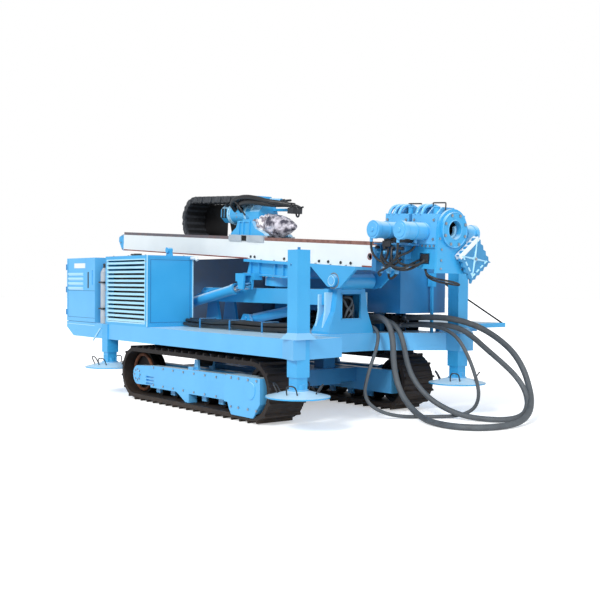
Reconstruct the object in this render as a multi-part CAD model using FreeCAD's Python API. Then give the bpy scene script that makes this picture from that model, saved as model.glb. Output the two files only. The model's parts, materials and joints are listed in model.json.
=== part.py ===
import FreeCAD, Part
import math
import os

# Crawler drilling rig. Millimetres, +X forward, +Y left, +Z up.
# The origin is on the ground, on the centre line, between the two tracks.

V = FreeCAD.Vector
X_AXIS, Y_AXIS, Z_AXIS = V(1, 0, 0), V(0, 1, 0), V(0, 0, 1)

# Fits shared by the whole machine
PIN_GAP = 0.05          # radial clearance of a pin in its eye
SLIDE_GAP = 0.3         # radial clearance of a sliding fit
SIDE_GAP = 6.0          # side clearance between an eye and its lugs

# Tracks
GAUGE = 1640.0          # between the track centre planes
SHOE_WIDTH = 400.0
TRACK_LENGTH = 2790.0
TRACK_HEIGHT = 585.0
TRACK_CENTRE_X = 175.0
GROUSER_HEIGHT = 24.0
BELT_THICK = 42.0       # shoe plate with its chain link
SHOE_COUNT = 46
WHEEL_GAP = 0.3         # between a wheel and the inside of the track

# Deck, carried above the tracks
DECK_CLEARANCE = 35.0   # over the top of the tracks
DECK_DEPTH = 170.0
DECK_BOTTOM = TRACK_HEIGHT + DECK_CLEARANCE
DECK_TOP = DECK_BOTTOM + DECK_DEPTH
DECK_HALF_WIDTH = 1040.0
DECK_FRONT = 1470.0
DECK_WALL = 90.0
DECK_PLATE = 14.0

# Jacks, clear of both ends of the tracks
JACK_X = {"front": TRACK_CENTRE_X + TRACK_LENGTH / 2 + 330, "rear": TRACK_CENTRE_X - TRACK_LENGTH / 2 - 340}
JACK_Y = DECK_HALF_WIDTH - 55
JACK_TUBE = 136.0
JACK_WALL = 12.0
JACK_LOW = DECK_BOTTOM - 150
JACK_TOP = {"front": DECK_TOP + 755, "rear": DECK_TOP - 2}
DECK_REAR = JACK_X["rear"] - 80
CORNER_OUT = DECK_HALF_WIDTH + 70       # outer face of the jack corners
CORNER_NOSE = JACK_X["front"] + 90
CORNER_START = JACK_X["front"] - 150
RIGHT_CORNER_IN = -500.0
LEFT_CORNER_IN = 900.0
LEG_GAP = 0.5
FOOT_RADIUS = 275.0
FOOT_BOTTOM = 300.0

# Housings on the deck
SHEET = 20.0
BOX_X = (-1570.0, -610.0)
BOX_Y = (-DECK_HALF_WIDTH, -DECK_HALF_WIDTH + 560)
BOX_TOP = DECK_TOP + 760
LOUVRE_EDGE = 28.0      # sheet left round the louvres
LOUVRE_COUNT = 14
CABINET_X = (-2600.0, -1840.0)
CABINET_Y = (-DECK_HALF_WIDTH, -DECK_HALF_WIDTH + 400)
CABINET_TOP = BOX_TOP - 5
DOOR_GAP = 5.5
TANK_WALL = 8.0
TANK_X = (-350.0, 1660.0)
TANK_Y = (440.0, DECK_HALF_WIDTH + 80)
TANK_Z = (DECK_TOP + 190, DECK_TOP + 650)
REAR_TANK_X = (-1960.0, -420.0)
REAR_TANK_Y = (330.0, DECK_HALF_WIDTH)
REAR_TANK_TOP = BOX_TOP
PLATFORM_X = (350.0, 1950.0)
PLATFORM_Y = (DECK_HALF_WIDTH + 26, DECK_HALF_WIDTH + 600)
PLATFORM_Z = (DECK_TOP + 45, DECK_TOP + 90)
STAY_TOP = V(1318, TANK_Y[1] + 30, TANK_Z[1] - 45)

# Boom, its pivot at the rear and the mast pin at its head
BOOM_PIVOT = V(-760, 0, DECK_TOP + 345)
BOOM_HALF = 225.0
BOOM_Z = (BOOM_PIVOT.z - 75, BOOM_PIVOT.z + 75)
BOOM_WALL = 14.0
BOOM_FRONT = 1380.0
BOOM_EYE_R = 78.0
PIVOT_R = 30.0
HEAD_X = (1200.0, 1455.0)
HEAD_BASE_HALF = 280.0
HEAD_TOP_HALF = 170.0
HEAD_BASE_Z = DECK_TOP + SLIDE_GAP
HEAD_MID_Z = DECK_TOP + 210
HEAD_TOP_Z = BOOM_Z[1] + 5
MAST_PIN = V(1500, 0, HEAD_TOP_Z + 75)
MAST_PIN_R = 35.0
HUB_R = 72.0
HUB_HALF = 200.0
EAR_Y = (236.0, 262.0)
FLANGE_Z = -12.0        # slewing flange of the cradle, from the mast pin

# Mast, measured in its own level frame from the mast pin
MAST_SLOPE = 3.25       # degrees, front end down
MAST_REAR = -4290.0
MAST_FRONT = 545.0
MAST_Z = (143.0, 341.0)
MAST_HALF = 190.0
MAST_WALL = 12.0
TROUGH_HALF = 152.0
TROUGH_DEPTH = 62.0
RAIL_WIDTH = 32.0
RAIL_HEIGHT = 34.0
RAIL_FRONT = MAST_FRONT - 30
DRILL_AXIS_Z = 497.0

# Drill head, at rest with its shoes centred here
HEAD_CENTRE = -1533.0
SHOE_LENGTH = 640.0
SHOE_TOP = 18.0         # top plate of the shoes above the rails
GEARBOX_Z = 622.0
GEARBOX_R = 108.0
MOTOR_R = 112.0
CASE_TOP = 715.0        # top of the gear case, under the end of the chain

# Clamp unit at the front end
CLAMP_X = {"rear": 705.0, "front": 1032.0}
CLAMP_LENGTH = 290.0
CLAMP_HALF = 170.0
CLAMP_REACH = 446.0     # outer end of the clamp cylinders
CLAMP_HALF_HEIGHT = 128.0
CLAMP_PLATE_X = 1205.0
RING_BORE_R = 77.5
RING_OUT_R = 148.0
RING_BOLT_R = 128.5
RING_BOLT_HOLE_R = 9.0
RING_BOLTS = 8


def box(x0, x1, y0, y1, z0, z1):
    """Block between two corners."""
    shape = Part.makeBox(x1 - x0, y1 - y0, z1 - z0)
    shape.translate(V(x0, y0, z0))
    return shape


def rod(start, end, radius, inner=0.0):
    """Round bar or tube between two points."""
    axis = end - start
    shape = Part.makeCylinder(radius, axis.Length, start, axis)
    if inner > 0:
        shape = shape.cut(Part.makeCylinder(inner, axis.Length, start, axis))
    return shape


def cross_rod(x, z, y0, y1, radius, inner=0.0):
    """Round bar or tube that lies across the machine."""
    return rod(V(x, y0, z), V(x, y1, z), radius, inner)


def plate_xz(points, y0, y1):
    """Flat plate with a side-view outline."""
    face = Part.Face(Part.makePolygon([V(x, y0, z) for x, z in points + points[:1]]))
    return face.extrude(V(0, y1 - y0, 0))


def plate_xy(points, z0, z1):
    """Flat plate with a plan-view outline."""
    face = Part.Face(Part.makePolygon([V(x, y, z0) for x, y in points + points[:1]]))
    return face.extrude(V(0, 0, z1 - z0))


def plate_yz(points, x0, x1):
    """Flat plate with a front-view outline."""
    face = Part.Face(Part.makePolygon([V(x0, y, z) for y, z in points + points[:1]]))
    return face.extrude(V(x1 - x0, 0, 0))


def fuse(shapes):
    """One solid from touching pieces."""
    whole = shapes[0].multiFuse(shapes[1:])
    return whole.removeSplitter()


def cut(shape, tools):
    """Take several tools away from a shape."""
    return shape.cut(tools[0].multiFuse(tools[1:]) if len(tools) > 1 else tools[0])


def group(shapes):
    """Pieces that share a node without touching."""
    return Part.makeCompound(shapes)


def to_mast(shape):
    """Move a piece from the mast's own level frame to the machine."""
    shape = shape.copy()
    shape.rotate(V(0, 0, 0), Y_AXIS, MAST_SLOPE)
    shape.translate(MAST_PIN)
    return shape


# Tracks and undercarriage

WHEEL_R = TRACK_HEIGHT / 2 - GROUSER_HEIGHT - BELT_THICK - WHEEL_GAP
WHEEL_Z = TRACK_HEIGHT / 2
WHEEL_SPAN = TRACK_LENGTH - TRACK_HEIGHT
WHEEL_X = (TRACK_CENTRE_X - WHEEL_SPAN / 2, TRACK_CENTRE_X + WHEEL_SPAN / 2)
TRACK_Y = GAUGE / 2
SIDE_FACE = TRACK_Y + SHOE_WIDTH / 2
WHEEL_HALF = 70.0       # half width of wheels and rollers
FRAME_GAP = 76.0        # from the track's centre plane to either half of its frame
WELL_DEPTH = 46.0       # recess of the frame round the front sprocket
TRACK_INSIDE = TRACK_HEIGHT / 2 - GROUSER_HEIGHT - BELT_THICK
ROLLER_R = 62.0
ROLLER_X = [TRACK_CENTRE_X - 750 + index * 300 for index in range(6)]
ROLLER_Z = WHEEL_Z - TRACK_INSIDE + WHEEL_GAP + ROLLER_R
TOP_ROLLER_R = 45.0
TOP_ROLLER_Z = WHEEL_Z + TRACK_INSIDE - WHEEL_GAP - TOP_ROLLER_R


def loop_point(distance, radius):
    """Point on a track loop: distance is measured on the shoe line."""
    line_radius = TRACK_HEIGHT / 2 - GROUSER_HEIGHT
    arc = math.pi * line_radius
    total = 2 * (WHEEL_SPAN + arc)
    d = distance % total
    if d < WHEEL_SPAN:
        return (WHEEL_X[1] - d, WHEEL_Z - radius)
    d -= WHEEL_SPAN
    if d < arc:
        turn = -math.pi / 2 - d / line_radius
        return (WHEEL_X[0] + radius * math.cos(turn), WHEEL_Z + radius * math.sin(turn))
    d -= arc
    if d < WHEEL_SPAN:
        return (WHEEL_X[0] + d, WHEEL_Z + radius)
    d -= WHEEL_SPAN
    turn = math.pi / 2 - d / line_radius
    return (WHEEL_X[1] + radius * math.cos(turn), WHEEL_Z + radius * math.sin(turn))


def stadium(radius, y0, y1):
    """Closed loop plate round both end wheels."""
    a, b = WHEEL_X
    z = WHEEL_Z
    edges = [
        Part.LineSegment(V(a, y0, z - radius), V(b, y0, z - radius)).toShape(),
        Part.Arc(V(b, y0, z - radius), V(b + radius, y0, z), V(b, y0, z + radius)).toShape(),
        Part.LineSegment(V(b, y0, z + radius), V(a, y0, z + radius)).toShape(),
        Part.Arc(V(a, y0, z + radius), V(a - radius, y0, z), V(a, y0, z - radius)).toShape(),
    ]
    return Part.Face(Part.Wire(edges)).extrude(V(0, y1 - y0, 0))


def track(side):
    """One fixed loop with its shoes and lugs in the outline."""
    plate_r = TRACK_HEIGHT / 2 - GROUSER_HEIGHT
    tip_r = TRACK_HEIGHT / 2
    total = 2 * (WHEEL_SPAN + math.pi * plate_r)
    pitch = total / SHOE_COUNT
    # columns: share of the pitch, radius
    shoe = [(0.0, plate_r - 7), (0.06, plate_r), (0.38, plate_r), (0.43, tip_r), (0.53, tip_r),
            (0.58, plate_r), (0.94, plate_r)]
    points = []
    for index in range(SHOE_COUNT):
        for share, radius in shoe:
            points.append(loop_point((index + share) * pitch, radius))
    y0, y1 = side * TRACK_Y - SHOE_WIDTH / 2, side * TRACK_Y + SHOE_WIDTH / 2
    outer = plate_xz(points, y0, y1)
    return outer.cut(stadium(plate_r - BELT_THICK, y0 - 1, y1 + 1))


def track_wheels():
    """Rear idlers, front sprockets and bottom and top rollers of both sides, with their axles."""
    wheels = []
    half = WHEEL_HALF
    for side in (-1, 1):
        yc = side * TRACK_Y
        # columns: x, reach of the axle to the outer half of the frame
        for x, reach in ((WHEEL_X[0], FRAME_GAP), (WHEEL_X[1], FRAME_GAP + WELL_DEPTH)):
            wheel = cross_rod(x, WHEEL_Z, yc - half, yc + half, WHEEL_R)
            groove = cross_rod(x, WHEEL_Z, yc - 24, yc + 24, WHEEL_R + 1, WHEEL_R - 22)
            dish = [cross_rod(x, WHEEL_Z, yc + s * (half - 14), yc + s * (half + 1), WHEEL_R - 40, 75)
                    for s in (-1, 1)]
            axle = cross_rod(x, WHEEL_Z, *sorted((yc - side * FRAME_GAP, yc + side * reach)), 45)
            wheels.append(fuse([cut(wheel, [groove] + dish), axle]))
        for x in ROLLER_X:
            axle = cross_rod(x, ROLLER_Z, yc - FRAME_GAP, yc + FRAME_GAP, 20)
            wheels.append(fuse([cross_rod(x, ROLLER_Z, yc - half, yc + half, ROLLER_R), axle]))
        axle = cross_rod(TRACK_CENTRE_X, TOP_ROLLER_Z, yc - FRAME_GAP, yc + FRAME_GAP, 16)
        roller = cross_rod(TRACK_CENTRE_X, TOP_ROLLER_Z, yc - half, yc + half, TOP_ROLLER_R)
        wheels.append(fuse([roller, axle]))
    return group(wheels)


def track_frame(side):
    """Side frame with its idler yoke, chain guide and motor guard."""
    face = side * (SIDE_FACE - 30)
    inner = side * (TRACK_Y + FRAME_GAP)
    rear, front = WHEEL_X

    def slab(points, near=face, far=inner):
        return plate_xz(points, min(near, far), max(near, far))

    beam = slab([(rear + 307, 155), (front - 417, 165), (front - 417, 395), (front - 517, 405), (rear + 307, 385)])
    yoke_z = WHEEL_Z - 20
    yoke = slab([(rear + 27, yoke_z - 105), (rear + 327, yoke_z - 95), (rear + 327, yoke_z + 110),
                 (rear + 27, yoke_z + 95)])
    nose = cross_rod(rear + 27, yoke_z - 5, min(face, inner), max(face, inner), 100)
    guide = slab([(TRACK_CENTRE_X - 265, 160), (TRACK_CENTRE_X - 25, 160), (TRACK_CENTRE_X - 25, 70),
                  (TRACK_CENTRE_X - 85, 70)])
    lug = slab([(TRACK_CENTRE_X - 85, 390), (TRACK_CENTRE_X + 5, 390), (TRACK_CENTRE_X + 5, 425),
                (TRACK_CENTRE_X - 85, 425)], side * (SIDE_FACE - 60))
    guard = slab([(front - 417, 165), (front - 362, 165), (front - 332, 95), (front + 70, 95), (front + 150, 190),
                  (front + 150, 420), (front - 362, 420), (front - 417, 395)], side * (SIDE_FACE + 22))
    skid = slab([(front - 332, 100), (front - 300, 56), (front + 40, 56), (front + 80, 100)],
                side * (SIDE_FACE + 6), side * (SIDE_FACE + 22))
    well_radius = WHEEL_R * 0.6
    well = cross_rod(front, WHEEL_Z, *sorted((inner, inner + side * WELL_DEPTH)), well_radius)
    # Slots of the track tensioner, one above the other
    slots = [box(rear + 207, rear + 377, min(face, face - side * 25), max(face, face - side * 25),
                 180 + i * 34, 202 + i * 34) for i in range(3)]

    def hangers(near, far):
        """Plates that hold the axles of the rollers below and above the frame."""
        low = [slab([(x - 40, ROLLER_Z - 28), (x + 40, ROLLER_Z - 28), (x + 40, 175), (x - 40, 175)], near, far)
               for x in ROLLER_X]
        x = TRACK_CENTRE_X
        top = slab([(x - 40, 380), (x + 40, 380), (x + 30, TOP_ROLLER_Z + 24), (x - 30, TOP_ROLLER_Z + 24)],
                   near, far)
        return low + [top]

    outer_parts = [beam, yoke, nose, guide, lug, guard, skid] + hangers(inner + side * 24, inner)
    outer = cut(fuse(outer_parts), slots + [well])
    # Inner half of the frame carries the rollers on the machine side
    inboard = side * (TRACK_Y - FRAME_GAP)
    inboard_face = side * (TRACK_Y - SHOE_WIDTH / 2 + 30)
    back = slab([(rear - 72, 165), (front + 52, 165), (front + 52, 400), (rear - 72, 385)], inboard_face, inboard)
    # Web between both halves, clear of wheels and rollers
    web = slab([(rear + 367, 215), (front - 417, 215), (front - 417, 345), (rear + 367, 345)], inner, inboard)
    return fuse([outer, back, web] + hangers(inboard - side * 24, inboard))


def car_body():
    """Centre frame and cross beams between the tracks, and the posts up to the deck."""
    inner = TRACK_Y - SHOE_WIDTH / 2 + 30
    z0, z1 = 240.0, 400.0
    centre = box(-560, 860, -380, 380, z0, z1)
    pocket = box(-440, 740, -290, 290, z0 - 1, z1 - 30)
    arms = [box(x, x + 180, -inner, inner, z0 + 10, z1 - 10) for x in (-500, 620)]
    posts = [box(x, x + 150, y - 75, y + 75, z1, DECK_BOTTOM)
             for x in (-520, 650) for y in (-280, 280)]
    seats = [box(x - 10, x + 160, y - 115, y + 115, DECK_BOTTOM, DECK_TOP - DECK_PLATE)
             for x in (-520, 650) for y in (-280, 280)]
    return fuse([centre.cut(pocket)] + arms + posts + seats)


# Deck

def corner_plan(side):
    """Plan of the box that carries a front jack; the left one leaves room for the front beam's slope."""
    nose, start, out = CORNER_NOSE, CORNER_START, CORNER_OUT
    if side < 0:
        return [(DECK_FRONT, -DECK_HALF_WIDTH), (start, -DECK_HALF_WIDTH), (nose, -out),
                (nose - 90, RIGHT_CORNER_IN), (DECK_FRONT, RIGHT_CORNER_IN)]
    return [(DECK_FRONT, 350), (nose - 160, LEFT_CORNER_IN), (nose, LEFT_CORNER_IN + 20), (nose, out),
            (start, DECK_HALF_WIDTH), (DECK_FRONT, DECK_HALF_WIDTH)]


def jack_places():
    """Name and centre of each jack."""
    return [(f"{end}_{name}", JACK_X[end], side * JACK_Y, JACK_TOP[end])
            for end in ("front", "rear") for name, side in (("right", -1), ("left", 1))]


def jack_sleeves():
    """Square openings that the jack tubes stand in."""
    h = JACK_TUBE / 2
    return [box(x - h, x + h, y - h, y + h, DECK_BOTTOM - 1, DECK_TOP + 1) for _, x, y, _ in jack_places()]


def deck_frame():
    """Perimeter box with a top plate, cross beams and the rear overhang."""
    w = DECK_HALF_WIDTH
    outer = box(DECK_REAR, DECK_FRONT, -w, w, DECK_BOTTOM, DECK_TOP)
    pocket = box(DECK_REAR + DECK_WALL, DECK_FRONT - DECK_WALL, -w + DECK_WALL, w - DECK_WALL,
                 DECK_BOTTOM - 1, DECK_TOP - DECK_PLATE)
    # Cross beams sit between the posts of the undercarriage
    beams = [box(x, x + 120, -w + DECK_WALL, w - DECK_WALL, DECK_BOTTOM, DECK_TOP - DECK_PLATE)
             for x in (-1000, 60, 1180)]
    # Sills under the rear cabinet, with a cut-off corner, and under the rear tank
    sill = plate_xz([(DECK_REAR, DECK_TOP), (DECK_REAR, DECK_BOTTOM), (CABINET_X[0] + 190, DECK_BOTTOM),
                     (CABINET_X[0], DECK_TOP - 70), (CABINET_X[0], DECK_TOP)],
                    CABINET_Y[0], CABINET_Y[1])
    left_sill = plate_xz([(DECK_REAR, DECK_TOP), (DECK_REAR, DECK_BOTTOM), (REAR_TANK_X[0] + 100, DECK_BOTTOM),
                          (REAR_TANK_X[0], DECK_TOP - 70), (REAR_TANK_X[0], DECK_TOP)],
                         REAR_TANK_Y[0], REAR_TANK_Y[1])
    return cut(fuse([outer.cut(pocket)] + beams + [sill, left_sill]), jack_sleeves())


def deck_corner(side):
    """Box in front of the deck that carries one front jack."""
    return cut(plate_xy(corner_plan(side), DECK_BOTTOM, DECK_TOP), jack_sleeves())


# Jacks

def jack_tube(x, y, top):
    """Square outer tube with a flared collar on the deck and a cap at the top."""
    h = JACK_TUBE / 2
    tube = box(x - h, x + h, y - h, y + h, JACK_LOW, top)
    bore = box(x - h + JACK_WALL, x + h - JACK_WALL, y - h + JACK_WALL, y + h - JACK_WALL,
               JACK_LOW - 1, top - 12)
    base = Part.makePolygon([V(x - h - 42, y - h - 42, DECK_TOP), V(x + h + 42, y - h - 42, DECK_TOP),
                             V(x + h + 42, y + h + 42, DECK_TOP), V(x - h - 42, y + h + 42, DECK_TOP),
                             V(x - h - 42, y - h - 42, DECK_TOP)])
    rim = Part.makePolygon([V(x - h - 2, y - h - 2, DECK_TOP + 55), V(x + h + 2, y - h - 2, DECK_TOP + 55),
                            V(x + h + 2, y + h + 2, DECK_TOP + 55), V(x - h - 2, y + h + 2, DECK_TOP + 55),
                            V(x - h - 2, y - h - 2, DECK_TOP + 55)])
    collar = Part.makeLoft([base, rim], True)
    nub = Part.makeCylinder(9, 14, V(x, y, top))
    pieces = [tube, collar, nub] if top > DECK_TOP else [tube]
    return fuse(pieces).cut(bore)


def jack_leg(x, y, top):
    """Inner tube with its round dished foot."""
    h = JACK_TUBE / 2 - JACK_WALL - LEG_GAP
    leg = box(x - h, x + h, y - h, y + h, FOOT_BOTTOM + 60, top - 18)
    hub = Part.makeCylinder(62, 60, V(x, y, FOOT_BOTTOM + 50))
    # columns: radius, height above the foot's underside
    profile = [(0, 0), (FOOT_RADIUS, 0), (FOOT_RADIUS, 12), (90, 58), (90, 66), (0, 66)]
    wire = Part.makePolygon([V(x + r, y, FOOT_BOTTOM + z) for r, z in profile + profile[:1]])
    foot = Part.Face(wire).revolve(V(x, y, 0), Z_AXIS, 360)
    return fuse([leg, hub, foot])


# Housings on the deck

def louvre_field():
    """Edges of the louvred field in the side of the engine housing: x and z."""
    return ((BOX_X[0] + LOUVRE_EDGE, BOX_X[1] - LOUVRE_EDGE - 20), (DECK_TOP + LOUVRE_EDGE, BOX_TOP - LOUVRE_EDGE - 8))


def power_box():
    """Housing of the engine with an open louvre side, a framed front panel and a rest for the mast's clip."""
    x0, x1 = BOX_X
    y0, y1 = BOX_Y
    shell = box(x0, x1, y0, y1, DECK_TOP, BOX_TOP)
    inside = box(x0 + SHEET, x1 - SHEET, y0 + SHEET, y1 - SHEET, DECK_TOP + SHEET, BOX_TOP - SHEET)
    (wx0, wx1), (wz0, wz1) = louvre_field()
    window = box(wx0, wx1, y0 - 1, y0 + SHEET + 1, wz0, wz1)
    front_inset = box(x1 - 4, x1 + 1, y0 + 22, y1 - 22, DECK_TOP + 30, BOX_TOP - 26)
    cap = Part.makeCylinder(42, 22, V(x0 + 140, y0 + 300, BOX_TOP))
    rest = plate_xz([(-1130, BOX_TOP), (-1010, BOX_TOP), (-1035, BOX_TOP + 70), (-1105, BOX_TOP + 70)],
                    y1 - 40, y1 - 10)
    roller = cross_rod(-1070, BOX_TOP + 75, y1 - 60, y1, 32)
    return cut(fuse([shell, cap, rest, roller]), [inside, window, front_inset])


def louvre_panel():
    """Panel with sloping slats that closes the side of the engine housing."""
    (x0, x1), (z0, z1) = louvre_field()
    y0 = BOX_Y[0]
    edge = 12.0
    frame = box(x0, x1, y0, y0 + SHEET, z0, z1).cut(
        box(x0 + edge, x1 - edge, y0 - 1, y0 + SHEET + 1, z0 + edge, z1 - edge))
    pitch = (z1 - z0 - 2 * edge) / LOUVRE_COUNT
    slats = []
    for index in range(LOUVRE_COUNT):
        z = z0 + edge + index * pitch
        slats.append(plate_yz([(y0, z + 4), (y0 + 6, z + 4), (y0 + SHEET, z + pitch * 0.62),
                               (y0 + SHEET - 6, z + pitch * 0.62)], x0 + edge, x1 - edge))
    return fuse([frame] + slats)


def engine_block():
    """Engine as one plain block on the floor of its housing."""
    return box(BOX_X[0] + 90, BOX_X[1] - 110, BOX_Y[0] + 60, BOX_Y[1] - 60, DECK_TOP + SHEET, DECK_TOP + 600)


def rear_cabinet():
    """Hollow electric cabinet behind the engine housing, open on the door side."""
    x0, x1 = CABINET_X
    y0, y1 = CABINET_Y
    shell = box(x0, x1, y0 + SHEET, y1, DECK_TOP, CABINET_TOP)
    inside = box(x0 + SHEET, x1 - SHEET, y0 + SHEET - 1, y1 - SHEET, DECK_TOP + SHEET, CABINET_TOP - SHEET)
    return shell.cut(inside)


def cabinet_door():
    """Door of the electric cabinet, hinged at its rear edge."""
    x0, x1 = CABINET_X
    y0 = CABINET_Y[0]
    leaf = box(x0, x1, y0, y0 + SHEET - SLIDE_GAP, DECK_TOP + DOOR_GAP, CABINET_TOP)
    handle = box(x1 - 80, x1 - 50, y0 - 1, y0 + 9, 1230, 1400)
    return leaf.cut(handle)


def tank(xs, ys, zs, chamfer):
    """Closed hollow tank with a chamfered front outer corner."""
    shells = []
    for inset in (0.0, TANK_WALL):
        x0, x1 = xs[0] + inset, xs[1] - inset
        y0, y1 = ys[0] + inset, ys[1] - inset
        plan = [(x0, y0), (x1, y0), (x1, y1 - chamfer), (x1 - chamfer, y1), (x0, y1)]
        shells.append(plate_xy(plan, zs[0] + inset, zs[1] - inset))
    return shells[0].cut(shells[1])


def front_tank():
    """Oil tank on the left side, on four feet above the deck."""
    feet = [box(x, x + 90, y, y + 60, DECK_TOP, TANK_Z[0])
            for x in (TANK_X[0] + 60, DECK_FRONT - 330) for y in (TANK_Y[0] + 140, TANK_Y[1] - 240)]
    return fuse([tank(TANK_X, TANK_Y, TANK_Z, 60.0), stay_lug()] + feet)


def stay_lug():
    """Lug on the tank's side for the upper end of the platform's stay."""
    x, y, z = STAY_TOP
    return box(x - 20, x + 20, TANK_Y[1], y, z - 25, z + 25)


def rear_tank():
    """Fuel tank behind the oil tank."""
    return tank(REAR_TANK_X, REAR_TANK_Y, (DECK_TOP, REAR_TANK_TOP), 40.0)


def platform():
    """Working platform on the left side with its stay."""
    side = DECK_HALF_WIDTH
    z0, z1 = PLATFORM_Z
    slab = box(*PLATFORM_X, *PLATFORM_Y, z0, z1)
    places = (PLATFORM_X[0] + 100, PLATFORM_X[1] - 400)
    brackets = [box(x, x + 60, side, side + 14, DECK_TOP - 90, z0) for x in places]
    arms = [box(x, x + 60, side, PLATFORM_Y[1] - 40, DECK_TOP - 10, z0) for x in places]
    stay = rod(V(PLATFORM_X[1] - 20, PLATFORM_Y[1] - 20, z1 - 10), STAY_TOP, 7).cut(stay_lug())
    return fuse([slab] + brackets + arms + [stay])


def guard_post():
    """Slim post on the front beam with a small block at its top."""
    x, y = CORNER_START - 50, DECK_HALF_WIDTH - 210
    return fuse([box(x - 12, x + 12, y - 12, y + 12, DECK_TOP, DECK_TOP + 460),
                 box(x - 30, x + 30, y - 28, y + 28, DECK_TOP + 450, DECK_TOP + 580)])


# Boom

LIFT_BASE = V(-160, 0, DECK_TOP + 90)
LIFT_EYE = V(640, 0, BOOM_Z[0] - 60)
TILT_BASE = V(-1150, -345, BOOM_PIVOT.z - 150)
TILT_EYE = V(200, -345, MAST_PIN.z - 55)


def boom_bracket():
    """Deck brackets for the boom pivot and the lift cylinder."""
    parts = []
    for side in (-1, 1):
        y0, y1 = sorted((side * 100, side * 130))
        ear = plate_xz([(-900, DECK_TOP), (-600, DECK_TOP), (-690, BOOM_PIVOT.z), (-830, BOOM_PIVOT.z)], y0, y1)
        parts.append(fuse([ear, cross_rod(BOOM_PIVOT.x, BOOM_PIVOT.z, y0, y1, 72)]))
    bore = cross_rod(BOOM_PIVOT.x, BOOM_PIVOT.z, -400, 400, PIVOT_R)
    parts = [p.cut(bore) for p in parts]
    foot = box(-930, -570, -160, 160, DECK_TOP, DECK_TOP + 20)
    pin = cross_rod(BOOM_PIVOT.x, BOOM_PIVOT.z, -130, 130, PIVOT_R)
    lift = []
    for side in (-1, 1):
        y0, y1 = sorted((side * 60, side * 90))
        x, z = LIFT_BASE.x, LIFT_BASE.z
        lift.append(plate_xz([(x - 110, DECK_TOP), (x + 100, DECK_TOP), (x + 100, z - 30), (x + 50, z + 50),
                              (x - 50, z + 50), (x - 110, z - 30)], y0, y1))
    lift_foot = box(-290, -40, -120, 120, DECK_TOP, DECK_TOP + 18)
    lift_pin = cross_rod(LIFT_BASE.x, LIFT_BASE.z, -104, 104, 22)
    return group([fuse([foot, pin] + parts), fuse([lift_foot, lift_pin] + lift)])


def boom_arm():
    """Box beam with its rear eye, the lift lug below and the arm for the tilt cylinder."""
    z0, z1 = BOOM_Z
    x0 = BOOM_PIVOT.x
    beam = box(x0 + 110, BOOM_FRONT, -BOOM_HALF, BOOM_HALF, z0, z1).cut(head_column())
    inside = box(x0 + 140, HEAD_X[0] - 20, -BOOM_HALF + BOOM_WALL, BOOM_HALF - BOOM_WALL,
                 z0 + BOOM_WALL, z1 - BOOM_WALL)
    cheeks = []
    for side in (-1, 1):
        y0, y1 = sorted((side * (130 + SIDE_GAP), side * BOOM_HALF))
        cheek = fuse([box(x0, x0 + 130, y0, y1, z0, z1), cross_rod(x0, BOOM_PIVOT.z, y0, y1, BOOM_EYE_R)])
        cheeks.append(cheek)
    eye = cross_rod(x0, BOOM_PIVOT.z, -100 + SIDE_GAP, 100 - SIDE_GAP, 66)
    link = box(x0, x0 + 130, -100 + SIDE_GAP, 100 - SIDE_GAP, BOOM_PIVOT.z - 50, BOOM_PIVOT.z + 50)
    lugs = [plate_xz([(LIFT_EYE.x - 75, z0), (LIFT_EYE.x + 75, z0), (LIFT_EYE.x + 45, LIFT_EYE.z - 40),
                      (LIFT_EYE.x - 45, LIFT_EYE.z - 40)], *sorted((side * 44, side * 66))) for side in (-1, 1)]
    # Side arm behind the engine housing, for the base of the tilt cylinder
    arm_y = (TILT_BASE.y + 60, TILT_BASE.y + 90)
    arm = plate_xz([(x0 + 60, z0 + 10), (x0 + 60, z0 + 110), (TILT_BASE.x, TILT_BASE.z + 55),
                    (TILT_BASE.x - 55, TILT_BASE.z), (TILT_BASE.x, TILT_BASE.z - 55), (x0 - 120, z0 - 60)],
                   *arm_y)
    arm_block = box(x0 + 20, x0 + 120, arm_y[0], -BOOM_HALF, z0 + 20, z0 + 120)
    base_pin = cross_rod(TILT_BASE.x, TILT_BASE.z, TILT_BASE.y - 62, arm_y[1], 22)
    body = fuse([beam, eye, link] + cheeks + lugs + [arm, arm_block, base_pin])
    bore = cross_rod(x0, BOOM_PIVOT.z, -BOOM_HALF - 1, BOOM_HALF + 1, PIVOT_R + PIN_GAP)
    return cut(body, [inside, bore])


def column_loft(rings):
    """Tapered box through level rings; columns of a ring: x back, x front, half width, z."""
    wires = []
    for x_back, x_front, half, z in rings:
        wires.append(Part.makePolygon([V(x_back, -half, z), V(x_front, -half, z), V(x_front, half, z),
                                       V(x_back, half, z), V(x_back, -half, z)]))
    return Part.makeLoft(wires, True, True)


def head_column():
    """Outside of the tapered column at the front of the boom."""
    x0, x1 = HEAD_X
    return column_loft([(x0, x1, HEAD_BASE_HALF, HEAD_BASE_Z + 22), (x0 + 40, x1, 205, HEAD_MID_Z),
                        (x0 + 50, x1, HEAD_TOP_HALF, HEAD_TOP_Z)])


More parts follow.
